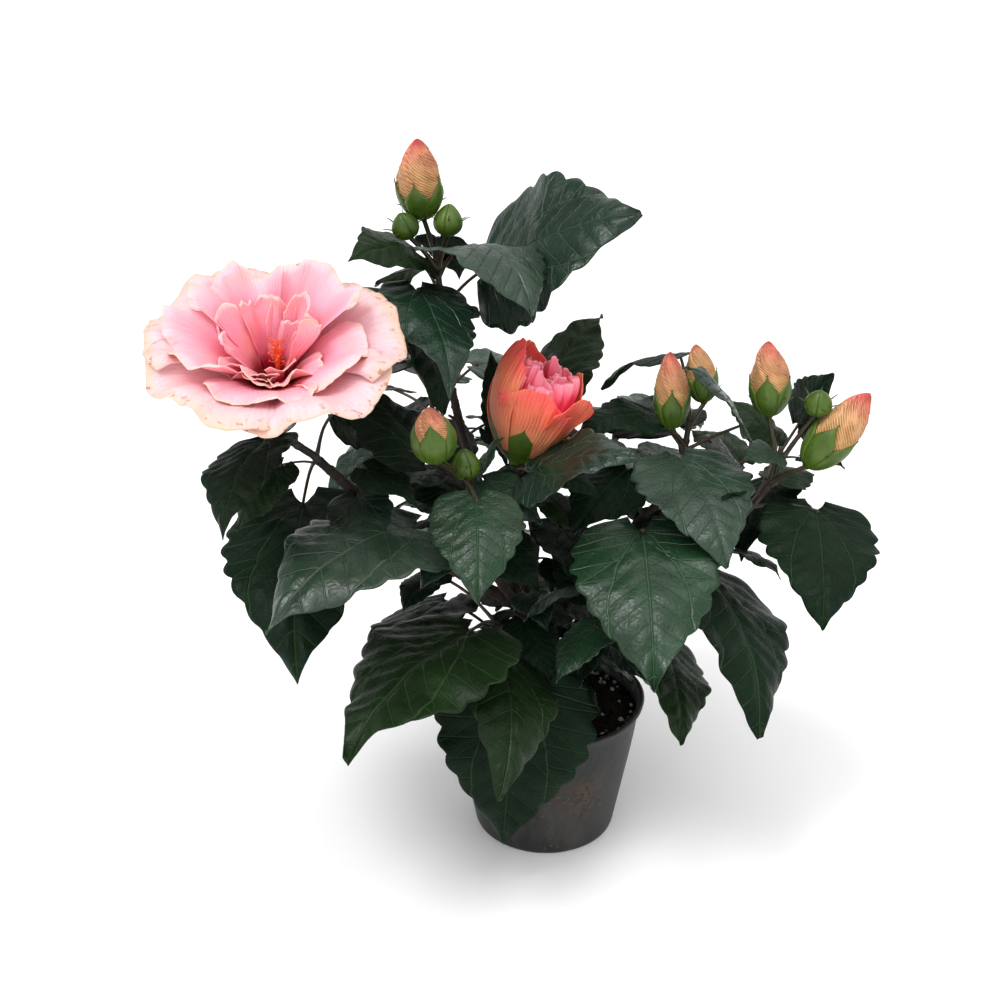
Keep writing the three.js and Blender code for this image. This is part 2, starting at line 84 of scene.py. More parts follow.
class Run:
    """A repeatable run of numbers from 0 to 1."""

    def __init__(self, seed: int) -> None:
        """Starts the run at a seed."""
        self.state = seed

    def next(self) -> float:
        """The next number."""
        self.state = (self.state * 16807) % 2147483647
        return self.state / 2147483647

    def between(self, least: float, more: float) -> float:
        """A number from least to least + more."""
        return least + more * self.next()


@dataclass(frozen=True)
class Axes:
    """A place with its own axes: d points out along a leaf, bud or bloom."""

    base: Vector
    d: Vector
    side: Vector
    up: Vector

    @staticmethod
    def at(base: Sequence[float], heading: float, pitch: float, roll: float = 0) -> "Axes":
        """Works out the axes at a place.

        Args:
            base: The place.
            heading: Where d points round +Z from +X, in degrees.
            pitch: How far d points above level, in degrees.
            roll: How far side and up are turned about d, in degrees.

        Returns:
            The axes.
        """
        d = direction(heading, pitch)
        h = math.radians(heading)
        side = Matrix.Rotation(math.radians(roll), 3, d) @ Vector((-math.sin(h), math.cos(h), 0))
        return Axes(Vector(base), d, side, d.cross(side))

    def point(self, along: float, across: float, lift: float) -> Vector:
        """The point at three distances from the base."""
        return self.base + self.d * along + self.side * across + self.up * lift

    def out(self, turn: float) -> Vector:
        """The unit vector straight out from d at a turn in radians."""
        return self.side * math.cos(turn) + self.up * math.sin(turn)

    def round(self, turn: float, reach: float, height: float) -> Vector:
        """The point at a height along d, and at a reach from it at a turn in radians."""
        return self.point(height, reach * math.cos(turn), reach * math.sin(turn))


class Curve:
    """A Catmull-Rom curve through its points."""

    def __init__(self, points: Iterable[Sequence[float]]) -> None:
        """Keeps the points, and one more beyond each end."""
        p = [Vector(q) for q in points]
        self.points = [2 * p[0] - p[1], *p, 2 * p[-1] - p[-2]]

    @property
    def length(self) -> float:
        """The distance from point to point."""
        return sum((b - a).length for a, b in zip(self.points[1:-2], self.points[2:-1]))

    def at(self, t: float) -> Vector:
        """The point at t.

        Args:
            t: The place along the curve, from 0 to 1.

        Returns:
            The point.
        """
        spans = len(self.points) - 3
        place = spans * min(max(t, 0.0), 1.0)
        i = min(int(place), spans - 1)
        w = place - i
        x0, x1, x2, x3 = self.points[i:i + 4]
        t0, t1 = 0.5 * (x2 - x0), 0.5 * (x3 - x1)
        return x1 + w * t0 + w * w * (3 * x2 - 3 * x1 - 2 * t0 - t1) + w**3 * (2 * x1 - 2 * x2 + t0 + t1)

    def tangent(self, t: float) -> Vector:
        """The unit direction of travel at t."""
        return (self.at(min(t + 0.001, 1)) - self.at(max(t - 0.001, 0))).normalized()

    def rings(self, count: int) -> list[tuple[Vector, Vector, Vector]]:
        """Works out the rings of a limb along the curve, carried on without a twist.

        Args:
            count: The number of steps between the first ring and the last.

        Returns:
            Each ring's centre and its two cross directions.
        """
        rings = []
        first = self.tangent(0).orthogonal().normalized()
        for i in range(count + 1):
            along = self.tangent(i / count)
            first = (first - along * first.dot(along)).normalized()
            rings.append((self.at(i / count), first, along.cross(first)))
        return rings


# ---- Finishes -------------------------------------------------------------------------------------


class Value:
    """A value in a node tree, on which sums are written as on a number."""

    def __init__(self, nodes: "Nodes", socket: bpy.types.NodeSocket) -> None:
        """Keeps the tree and the output that gives the value."""
        self.nodes, self.socket = nodes, socket

    def __add__(self, other: "Term") -> "Value":
        """This and another."""
        return self.nodes.math("ADD", self, other)

    def __sub__(self, other: "Term") -> "Value":
        """This less another."""
        return self.nodes.math("SUBTRACT", self, other)

    def __rsub__(self, other: float) -> "Value":
        """A number less this."""
        return self.nodes.math("SUBTRACT", other, self)

    def __mul__(self, other: "Term") -> "Value":
        """This times another."""
        return self.nodes.math("MULTIPLY", self, other)

    def __abs__(self) -> "Value":
        """This without its sign."""
        return self.nodes.math("ABSOLUTE", self)

    def most(self, other: "Term") -> "Value":
        """The larger of this and another."""
        return self.nodes.math("MAXIMUM", self, other)

    def to_and_fro(self, span: float) -> "Value":
        """This run to and fro between 0 and a span."""
        return self.nodes.math("PINGPONG", self, span)

    def part(self) -> "Value":
        """This less the whole number below it."""
        return self.nodes.math("FRACT", self)

    def ramp(self, low: float, high: float, start: float = 0, end: float = 1) -> "Value":
        """This carried from low..high to start..end, held at both ends."""
        return self.nodes.value("MapRange", in0=self, in1=low, in2=high, in3=start, in4=end)

    def line(self, narrow: float, wide: float) -> "Value":
        """1 where this is near 0, and 0 where it is over wide from it."""
        return abs(self).ramp(narrow, wide, 1, 0)


Term = Union[Value, float]
Colour = Union[Value, Point]


class Nodes:
    """Builds one material's node tree."""

    def __init__(self, name: str, roughness: float, specular: float = 0.5) -> None:
        """Starts a material with a Principled shader.

        Args:
            name: The material's name.
            roughness: The shader's roughness.
            specular: How strongly its face shines, 0.5 being plain plastic.
        """
        self.material = bpy.data.materials.new(name)
        self.material.use_nodes = True
        self.tree = self.material.node_tree
        self.shader = self.tree.nodes["Principled BSDF"]
        self.shader.inputs["Roughness"].default_value = roughness
        self.shader.inputs["Specular IOR Level"].default_value = specular

    def add(self, kind: str, **inputs: object) -> bpy.types.Node:
        """Adds a node.

        Args:
            kind: The node's type, with its operation or mode after a colon.
            inputs: Numbers, colours or Values by socket name, with _ for a space, or in0, in1 by place.

        Returns:
            The node.
        """
        name, _, mode = kind.partition(":")
        node = self.tree.nodes.new("ShaderNode" + name)
        if name in ("Math", "VectorMath"):
            node.operation = mode
        elif name == "Mix":
            node.data_type, node.blend_type = "RGBA", mode
        elif name == "TexVoronoi":
            node.feature = mode or "F1"
        for key, value in inputs.items():
            place = int(key[2:]) if key[:2] == "in" and key[2:].isdigit() else key.replace("_", " ")
            if isinstance(value, Value):
                self.tree.links.new(value.socket, node.inputs[place])
            else:
                node.inputs[place].default_value = value
        return node

    def value(self, kind: str, output: Union[int, str] = 0, **inputs: object) -> Value:
        """Adds a node, and gives the value of one of its outputs."""
        return Value(self, self.add(kind, **inputs).outputs[output])

    def math(self, operation: str, *terms: Term) -> Value:
        """The result of one sum."""
        return self.value("Math:" + operation, **{f"in{i}": term for i, term in enumerate(terms)})

    def mix(self, share: Term, first: Colour, second: Colour, mode: str = "MIX") -> Value:
        """Mixes two colours.

        Args:
            share: How much of the second there is.
            first: The first colour.
            second: The second colour.
            mode: How they are mixed.

        Returns:
            The mixed colour.
        """
        one, two = (c if isinstance(c, Value) else (*c, 1) for c in (first, second))
        return self.value("Mix:" + mode, 2, Factor=share, in6=one, in7=two)

    def colours(self, value: Value, stops: Sequence[tuple[float, Point]]) -> Value:
        """Carries a value through a run of colours.

        Args:
            value: The value.
            stops: Each colour, after the value that it is given at.

        Returns:
            The colour.
        """
        node = self.add("ValToRGB", Fac=value)
        elements = node.color_ramp.elements
        while len(elements) < len(stops):
            elements.new(0.5)
        for element, (place, colour) in zip(elements, stops):
            element.position, element.color = place, (*colour, 1)
        return Value(self, node.outputs[0])

    def where(self, scale: Optional[Point] = None) -> Value:
        """The Object coordinates, plain or scaled."""
        plain = self.value("TexCoord", "Object")
        return self.value("Mapping", Vector=plain, Scale=scale) if scale else plain

    def uv(self) -> tuple[Value, Value]:
        """The two parts of the UV coordinates."""
        outputs = self.add("SeparateXYZ", in0=self.value("TexCoord", "UV")).outputs
        return Value(self, outputs[0]), Value(self, outputs[1])

    def noise(self, scale: float, detail: float = 3, where: Optional[Value] = None,
              rough: float = 0.5) -> Value:
        """Noise from 0 to 1.

        Args:
            scale: How fine it is.
            detail: How many finer layers it has.
            where: The coordinates it reads. The plain Object coordinates are taken for none.
            rough: How strong the finer layers are.

        Returns:
            The noise.
        """
        spot = where or self.where()
        return self.value("TexNoise", Vector=spot, Scale=scale, Detail=detail, Roughness=rough)

    def paint(self, colour: Value) -> None:
        """Gives the shader its colour."""
        self.tree.links.new(colour.socket, self.shader.inputs["Base Color"])

    def roughen(self, value: Value) -> None:
        """Gives the shader its roughness."""
        self.tree.links.new(value.socket, self.shader.inputs["Roughness"])

    def bump(self, height: Value, depth: float, strength: float = 1) -> None:
        """Raises the surface by a height of up to depth metres."""
        node = self.add("Bump", Height=height, Strength=strength, Distance=depth)
        self.tree.links.new(node.outputs[0], self.shader.inputs["Normal"])


@dataclass(frozen=True)
class Finish:
    """What every finish has: a name, and a way to make its material."""

    name: str

    def make(self) -> bpy.types.Material:
        """The material."""
        raise NotImplementedError


@dataclass(frozen=True)
class Veins:
    """Where a leaf's side veins run, in lengths of its blade. The blade's relief and its colour share it."""

    slope: float = 0.80
    gap: float = 0.135
    first: float = -0.03
    arc_lean: float = 0.74
    arc_bend: float = 0.62

    def run(self, out: Term, along: Term) -> Term:
        """The distance past the first side vein, at a place out from the midrib and along it."""
        return along - out * self.slope - self.first

    def arc(self, out: Term, along: Term) -> Term:
        """The distance out from the curved main vein at each side of the midrib."""
        return out - along * (self.arc_lean - along * self.arc_bend)


VEINS = Veins()


@dataclass(frozen=True)
class LeafFinish(Finish):
    """A leaf's face, with its palmate main veins, side veins and quilted net of fine veins."""

    blade: Point
    vein: Point
    roughness: float
    show: float
    raised: float = -1.0
    specular: float = 0.2

    def vein_lines(self, n: Nodes) -> Value:
        """The midrib, the main veins at its sides, and the side veins of each.

        Args:
            n: The material's nodes.

        Returns:
            1 on a vein and 0 beside it.
        """
        x, y = n.uv()
        out = abs(x - 0.5)
        bent = out + (n.noise(42) - 0.5) * 0.055
        rib = (out + y * 0.003).line(0.003, 0.011)
        arc, run = VEINS.arc(bent, y), VEINS.run(bent, y)
        basal = arc.line(0.002, 0.009).most((bent * 0.30 - y).line(0.001, 0.008))
        side = run.to_and_fro(VEINS.gap / 2).ramp(0.001, 0.007, 1, 0) * run.ramp(0.10, 0.16)
        outer = (y - bent * 0.15 + 0.02).to_and_fro(0.06).ramp(0.001, 0.006, 1, 0) * arc.ramp(0, 0.02)
        return rib.most(basal).most(side.most(outer) * 0.75)

    def make(self) -> bpy.types.Material:
        """The material. UV is the leaf laid flat, in lengths of its blade, with the midrib at x = 0.5.

        Returns:
            The material.
        """
        n = Nodes(self.name, self.roughness, self.specular)
        main = self.vein_lines(n)
        cell, small = (n.value("TexVoronoi:DISTANCE_TO_EDGE", Vector=n.value("TexCoord", "UV"), Scale=scale)
                       for scale in (26.0, 70.0))
        vein = main.most(cell.ramp(0.0, 0.07, 1, 0) * 0.15)
        mottle = n.noise(38).ramp(0.3, 0.7, 0.7, 1.3)
        grey = n.value("CombineXYZ", in0=mottle, in1=mottle, in2=mottle)
        n.paint(n.mix(vein * self.show, n.mix(1.0, self.blade, grey, "MULTIPLY"), self.vein))
        n.roughen(n.noise(60, 2).ramp(0.3, 0.7, self.roughness - 0.05, self.roughness + 0.1))
        pillow = cell.ramp(0, 0.3) * 0.22 + small.ramp(0, 0.3) * 0.04
        n.bump((main - pillow) * self.raised + n.noise(500, 2) * 0.035, 0.0008, 0.8)
        return n.material


@dataclass(frozen=True)
class PetalFinish(Finish):
    """A petal's face: a run of colours from its foot to its edge, with fine veins along it."""

    stops: tuple[tuple[float, Point], ...]
    vein: Point
    veins: float = 30.0
    show: float = 0.15
    twist: float = 0.0
    laps: float = 0.0
    lap_twist: float = 0.0
    wander: float = 1.6
    blush: Point = (0.86, 0.3, 0.2)
    blush_share: float = 0.3
    depth: float = 0.0003
    roughness: float = 0.5
    glow: float = 0.35
    glow_reach: float = 0.006
    scorch: float = 0.0
    scorched: Point = (0.30, 0.13, 0.07)

    def make(self) -> bpy.types.Material:
        """The material. UV runs across the petal and from its foot to its edge.

        Returns:
            The material.
        """
        n = Nodes(self.name, self.roughness, 0.35)
        x, y = n.uv()
        base = n.colours(y + (n.noise(45) - 0.5) * 0.2, self.stops)
        if self.laps:
            x = (x * self.laps + y * self.lap_twist).part()
        spread = x * self.veins + y * self.twist + n.noise(90) * self.wander
        line = spread.to_and_fro(0.5).ramp(0.03, 0.33, 1, 0) * n.noise(150, 2).ramp(0.35, 0.6, 0.25, 1)
        veined = n.mix(line * self.show, base, self.vein)
        blushed = n.mix(n.noise(55).ramp(0.48, 0.68) * self.blush_share, veined, self.blush)
        brown = n.noise(240, 2).ramp(0.60, 0.66) * y.ramp(0.86, 0.97, 0, self.scorch)
        n.paint(n.mix(brown, blushed, self.scorched))
        n.bump(n.noise(400) * 0.4 - line, self.depth)
        n.shader.inputs["Subsurface Weight"].default_value = self.glow
        n.shader.inputs["Subsurface Radius"].default_value = (1.0, 0.35, 0.3)
        n.shader.inputs["Subsurface Scale"].default_value = self.glow_reach
        return n.material


@dataclass(frozen=True)
class GrainFinish(Finish):
    """A surface of two colours in noise, with a rough bump: bark, stalks, calyces and compost."""

    dark: Point
    light: Point
    roughness: float
    scale: float
    depth: float
    specular: float = 0.5
    stretch: float = 1.0

    def make(self) -> bpy.types.Material:
        """The material, read from Object coordinates.

        Returns:
            The material.
        """
        n = Nodes(self.name, self.roughness, self.specular)
        where = n.where((1, 1, self.stretch))
        both = n.noise(self.scale, 5, where) * 0.7 + n.noise(self.scale * 6, 3, where) * 0.3
        n.paint(n.mix(both.ramp(0.35, 0.65), self.dark, self.light))
        n.bump(both, self.depth)
        return n.material


@dataclass(frozen=True)
class PotFinish(Finish):
    """Thin grey moulded plastic, dusty, with specks, grit and a brown stain of dried compost water."""

    plastic: Point = (0.011, 0.012, 0.012)
    dust: Point = (0.052, 0.051, 0.048)
    grit: Point = (0.15, 0.14, 0.12)
    stain: Point = (0.050, 0.029, 0.015)
    dirt: Point = (0.010, 0.007, 0.005)
    stain_at: Point = (0.022, -0.050, 0.044)

    def spots(self, n: Nodes, scale: float, radii: Pair, spread: Value) -> Value:
        """Small round spots.

        Args:
            n: The material's nodes.
            scale: How close together they may lie.
            radii: Where a spot is full, and where it has ended, in shares of its cell.
            spread: The share of the surface that has them.

        Returns:
            1 on a spot and 0 beside it.
        """
        cell = n.value("TexVoronoi", Vector=n.where(), Scale=scale)
        return cell.ramp(*radii, 1, 0) * spread

    def make(self) -> bpy.types.Material:
        """The material, read from Object coordinates.

        Returns:
            The material.
        """
        n = Nodes(self.name, 0.5, 0.28)
        streak = n.noise(60, 6, n.where((1, 1, 0.35)), 0.65)
        base = n.mix(streak.ramp(0.42, 0.7, 0, 0.8), self.plastic, self.dust)
        away = n.value("VectorMath:DISTANCE", 1, in0=n.where(), in1=self.stain_at)
        blot = away.ramp(0.008, 0.024, 1, 0) * n.noise(260, 5).ramp(0.43, 0.55)
        thin = n.noise(120, 5).ramp(0.6, 0.72) * 0.5
        speck = self.spots(n, 190.0, (0.1, 0.16), n.noise(90, 2).ramp(0.5, 0.6))
        grains = self.spots(n, 330.0, (0.10, 0.17), n.noise(70).ramp(0.50, 0.62))
        dirty = n.mix(speck, n.mix(blot.most(thin), base, self.stain), self.dirt)
        n.paint(n.mix(grains, dirty, self.grit))
        n.roughen(streak.ramp(0.3, 0.7, 0.38, 0.62))
        n.bump(streak + speck + blot, 0.0004, 0.6)
        return n.material


@dataclass(frozen=True)
class Palette:
    """Every finish on the plant, made once."""

    made: dict[str, bpy.types.Material] = field(default_factory=dict)

    def of(self, *finishes: Finish) -> tuple[bpy.types.Material, ...]:
        """The materials of some finishes.

        Args:
            finishes: The finishes.

        Returns:
            Their materials, in the same order.
        """
        for finish in finishes:
            if finish.name not in self.made:
                self.made[finish.name] = finish.make()
        return tuple(self.made[finish.name] for finish in finishes)


VEIN = (0.050, 0.105, 0.040)
PALE_VEIN = (0.045, 0.080, 0.032)


class Tone(Enum):
    """The tones of leaf that sprays are dealt: the upper face, and the underside with raised veins. The
    fifth tone is painted sheen: a paler, greyer blade that stands in for the sheen on leaves facing the
    light.
    """

    DEEP = (LeafFinish("leaf_deep", (0.0030, 0.0115, 0.0045), VEIN, 0.44, 0.30, specular=0.10),
            LeafFinish("leaf_deep_under", (0.012, 0.028, 0.010), PALE_VEIN, 0.6, 0.4, 0.8))
    COOL = (LeafFinish("leaf_cool", (0.0055, 0.0215, 0.0110), VEIN, 0.31, 0.36, specular=0.40),
            LeafFinish("leaf_cool_under", (0.015, 0.033, 0.015), PALE_VEIN, 0.6, 0.4, 0.8))
    MID = (LeafFinish("leaf_mid", (0.0060, 0.0180, 0.0038), (0.050, 0.100, 0.034), 0.40, 0.30,
                      specular=0.16),
           LeafFinish("leaf_mid_under", (0.017, 0.038, 0.011), PALE_VEIN, 0.6, 0.4, 0.8))
    YOUNG = (LeafFinish("leaf_young", (0.0075, 0.0290, 0.0115), (0.080, 0.160, 0.075), 0.30, 0.30,
                        specular=0.36),
             LeafFinish("leaf_young_under", (0.025, 0.056, 0.018), (0.055, 0.095, 0.04), 0.58, 0.4, 0.8))
    # Painted sheen: this tone's paler, greyer blade and underside stand in for the broad sheen of light on
    # the leaves dealt it.
    SILVER = (LeafFinish("leaf_painted_sheen", (0.0150, 0.0370, 0.0205), (0.080, 0.130, 0.080), 0.31, 0.32,
                         specular=0.42),
              LeafFinish("leaf_painted_sheen_under", (0.022, 0.042, 0.022), PALE_VEIN, 0.6, 0.4, 0.8))


BUD_LAPS = 5
BUD_LAP_TWIST = 2.1

OPEN_OUTER = PetalFinish(
    "petal_open_outer",
    ((0.0, (0.20, 0.0, 0.012)), (0.2, (0.45, 0.01, 0.05)), (0.36, (0.90, 0.28, 0.37)),
     (0.62, (0.88, 0.42, 0.48)), (0.9, (0.84, 0.51, 0.54)), (1.0, (0.80, 0.48, 0.36))),
    (0.88, 0.33, 0.37), show=0.14, blush=(0.86, 0.40, 0.30), blush_share=0.34, depth=0.0002, glow=0.3,
    scorch=0.75)
OPEN_INNER = PetalFinish(
    "petal_open_inner",
    ((0.0, (0.26, 0.0, 0.012)), (0.22, (0.42, 0.002, 0.022)), (0.36, (0.98, 0.20, 0.30)),
     (0.66, (0.99, 0.36, 0.46)), (0.92, (0.98, 0.50, 0.56)), (1.0, (0.94, 0.56, 0.46))),
    (0.96, 0.25, 0.32), show=0.1, blush=(0.98, 0.36, 0.29), blush_share=0.45, depth=0.0002)
OPENING_OUTER = PetalFinish(
    "petal_opening_outer",
    ((0.0, (0.64, 0.16, 0.10)), (0.3, (0.76, 0.18, 0.10)), (0.7, (0.88, 0.15, 0.08)),
     (1.0, (0.96, 0.08, 0.09))),
    (0.42, 0.12, 0.04), veins=20, show=0.34, blush=(0.70, 0.27, 0.10), blush_share=0.5, depth=0.0004,
    glow=0.25)
# The mouth petals' pale pink tips are partly their own paler margin and partly painted highlight, standing
# in for light on the ruffled tops.
OPENING_INNER = PetalFinish(
    "petal_opening_inner",
    ((0.0, (0.75, 0.01, 0.06)), (0.5, (0.97, 0.03, 0.09)), (0.80, (1.0, 0.06, 0.13)),
     (1.0, (1.0, 0.27, 0.36))),
    (0.97, 0.30, 0.38), show=0.1, blush=(1.0, 0.38, 0.48), depth=0.00015, roughness=0.34, glow=0.15)
BUD_PETAL = PetalFinish(
    "bud_petal",
    ((0.0, (0.48, 0.28, 0.09)), (0.45, (0.51, 0.28, 0.10)), (0.74, (0.60, 0.27, 0.14)),
     (0.9, (0.72, 0.16, 0.13)), (1.0, (0.68, 0.06, 0.06))),
    (0.29, 0.09, 0.03), veins=6, show=0.62, wander=1.3, twist=17, laps=BUD_LAPS, lap_twist=BUD_LAP_TWIST,
    blush=(0.70, 0.46, 0.20), blush_share=0.4, depth=0.0008, glow=0.15)
CALYX = GrainFinish("calyx_green", (0.030, 0.066, 0.004), (0.068, 0.125, 0.009), 0.40, 120, 0.0003, 0.4, 0.4)
STALK = GrainFinish("leaf_stalk_skin", (0.018, 0.026, 0.008), (0.050, 0.024, 0.012), 0.45, 70, 0.0002)
TWIG = GrainFinish("twig_skin", (0.011, 0.009, 0.005), (0.034, 0.020, 0.012), 0.55, 130, 0.0005, stretch=0.5)
BARK = GrainFinish("bark_skin", (0.010, 0.007, 0.005), (0.048, 0.030, 0.019), 0.8, 150, 0.0009, stretch=0.4)
STYLE = GrainFinish("style_skin", (0.70, 0.03, 0.01), (0.90, 0.20, 0.03), 0.5, 300, 0.0003)
COMPOST = GrainFinish("compost_skin", (0.003, 0.002, 0.0015), (0.014, 0.010, 0.007), 0.92, 260, 0.002, 0.15)
PERLITE = GrainFinish("perlite_skin", (0.20, 0.18, 0.15), (0.52, 0.49, 0.43), 0.9, 500, 0.0006, 0.2)
ROOT = GrainFinish("root_skin", (0.04, 0.027, 0.018), (0.15, 0.10, 0.06), 0.8, 300, 0.0004)
PLASTIC = PotFinish("pot_plastic")


# ---- Mesh building --------------------------------------------------------------------------------


def laid_flat(s: float, u: float) -> Pair:
    """The UV of a sheet whose middle is at x = 0.5."""
    return 0.5 + 0.5 * u, s


def sheet(bm: bmesh.types.BMesh, across: int, along: int, place: Place,
          flat: Callable[[float, float], Pair] = laid_flat, material: int = 0) -> None:
    """Adds a grid moved to a surface.

    Args:
        bm: The mesh it joins.
        across: Faces across it.
        along: Faces along it.
        place: The point at s and u.
        flat: The UV at s and u.
        material: The material's place in the piece.
    """
    made = bmesh.ops.create_grid(bm, x_segments=across, y_segments=along, size=1)
    layer = bm.loops.layers.uv.verify()
    for vert in made["verts"]:
        s, u = (vert.co.y + 1) / 2, vert.co.x
        vert.co = place(s, u)
        spot = flat(s, u)
        for loop in vert.link_loops:
            loop[layer].uv = spot
            loop.face.material_index = material


@dataclass(frozen=True)
class Taper:
    """A limb's radius: from one end's to the other's, with lumps and a flare at each end."""

    start: float
    end: float
    rough: float = 0
    flare: float = 0
    flare_end: float = 0

    def __call__(self, t: float, turn: float) -> float:
        """The radius at a place along the limb and a turn round it.

        Args:
            t: The place along the limb.
            turn: The turn round it.

        Returns:
            The radius.
        """
        swell = 1 + self.flare * math.exp(-12 * t) + self.flare_end * math.exp(-16 * (1 - t))
        lumps = noise.noise(Vector((math.cos(turn), math.sin(turn), 22 * t + self.start)) * 1.3)
        return lerp(self.start, self.end, t) * swell * (1 + self.rough * lumps)


@dataclass(frozen=True)
class Bark(Taper):
    """A limb's radius with ridges of bark and a ring at each old leaf scar."""

    length: float = 100
    relief: float = 0.16
    scar_gap: float = 17

    def __call__(self, t: float, turn: float) -> float:
        """The radius at a place along the limb and a turn round it.

        Args:
            t: The place along the limb.
            turn: The turn round it.

        Returns:
            The radius.
        """
        x, y, along = math.cos(turn), math.sin(turn), self.length * t
        ridge = self.relief * noise.noise(Vector((2.2 * x, 2.2 * y, 0.11 * along)))
        fine = 0.06 * noise.noise(Vector((5 * x, 5 * y, 0.5 * along + 9)))
        scar, near = divmod(along / self.scar_gap, 1)
        ring = 0.16 * math.exp(-(((near - 0.5) / 0.09) ** 2)) * (1 + 0.6 * math.cos(turn + 2.4 * scar))
        return super().__call__(t, turn) * (1 + ridge + fine + ring)


def tube(bm: bmesh.types.BMesh, curve: Curve, radius: Taper, sides: int, rings: int) -> None:
    """Adds a closed round limb along a curve.

    Args:
        bm: The mesh it joins.
        curve: The line it follows.
        radius: Its radius.
        sides: Faces round it.
        rings: Faces along it.
    """
    part = bmesh.new()
    bmesh.ops.create_cone(part, cap_ends=True, segments=sides, radius1=1, radius2=1, depth=1)
    long = [e for e in part.edges if abs(e.verts[0].co.z - e.verts[1].co.z) > 0.5]
    bmesh.ops.subdivide_edges(part, edges=long, cuts=rings - 1)
    frames = curve.rings(rings)
    for vert in part.verts:
        ring = round((vert.co.z + 0.5) * rings)
        turn = math.atan2(vert.co.y, vert.co.x)
        centre, first, second = frames[ring]
        vert.co = centre + (first * math.cos(turn) + second * math.sin(turn)) * radius(ring / rings, turn)
    mesh = bpy.data.meshes.new("part")
    part.to_mesh(mesh)
    part.free()
    bm.from_mesh(mesh)
    bpy.data.meshes.remove(mesh)


def lump(bm: bmesh.types.BMesh, centre: Vector, radius: float, run: Run, level: int,
         flat: float = 1) -> None:
    """Adds one rough grain.

    Args:
        bm: The mesh it joins.
        centre: Its centre.
        radius: Its plain radius.
        run: The numbers that turn and stretch it.
        level: How finely it is divided.
        flat: How high it is for its breadth.
    """
    made = bmesh.ops.create_icosphere(bm, subdivisions=level, radius=1)
    turn = Matrix.Rotation(run.between(0, 6.28), 3, direction(run.between(0, 360), run.between(-90, 180)))
    stretch = Vector((run.between(0.7, 0.6), run.between(0.7, 0.5), run.between(0.6, 0.4) * flat))
    for vert in made["verts"]:
        grown = 1 + 0.35 * noise.noise(vert.co * 1.6 + centre)
        vert.co = centre + turn @ (vert.co * stretch) * radius * grown


def revolve(bm: bmesh.types.BMesh, profile: Sequence[Pair], steps: int) -> None:
    """Adds a surface turned about +Z.

    Args:
        bm: The mesh it joins.
        profile: The radius and height of each of its rings.
        steps: Faces round it.
    """
    verts = [bm.verts.new((r, 0, z)) for r, z in profile]
    edges = [bm.edges.new(pair) for pair in zip(verts, verts[1:])]
    bmesh.ops.spin(bm, geom=verts + edges, cent=(0, 0, 0), axis=(0, 0, 1), angle=2 * math.pi, steps=steps,
                   use_merge=True)


def linked(name: str, bm: bmesh.types.BMesh, materials: Sequence[bpy.types.Material]) -> bpy.types.Object:
    """Makes an object of a mesh and puts it in the scene.

    Args:
        name: The object's name.
        bm: The mesh, which is used up.
        materials: The object's materials.

    Returns:
        The object.
    """
    mesh = bpy.data.meshes.new(name)
    bm.to_mesh(mesh)
    bm.free()
    for material in materials:
        mesh.materials.append(material)
    made = bpy.data.objects.new(name, mesh)
    bpy.context.collection.objects.link(made)
    return made


@dataclass(frozen=True)
class Piece:
    """Names one kind of growth, the imported parts that it stands in for, and its materials."""

    name: str
    slot: str
    stands_for: tuple[str, ...]
    materials: tuple[bpy.types.Material, ...]

    def make(self, bm: bmesh.types.BMesh, thickness: float = 0, next_below: bool = False) -> None:
        """Makes the object, unless its mesh is empty, and reports it.

        Args:
            bm: The mesh in millimetres, which is used up.
            thickness: The wall given to open sheets. Closed meshes have none.
            next_below: Whether a sheet's far side takes the material after its own.
        """
        if not bm.verts:
            bm.free()
            return
        if not thickness:
            bmesh.ops.recalc_face_normals(bm, faces=bm.faces)
        bmesh.ops.scale(bm, vec=(MM, MM, MM), verts=bm.verts)
        for face in bm.faces:
            face.smooth = True
        made = linked(self.name, bm, self.materials)
        if thickness:
            wall = made.modifiers.new("wall", "SOLIDIFY")
            wall.thickness, wall.offset = thickness * MM, -1
            wall.material_offset = int(next_below)
        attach(made, BODY)
        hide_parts(*self.stands_for)
        LOG.info("%s: %d faces", self.name, len(made.data.polygons))


# ---- Pot and compost ------------------------------------------------------------------------------


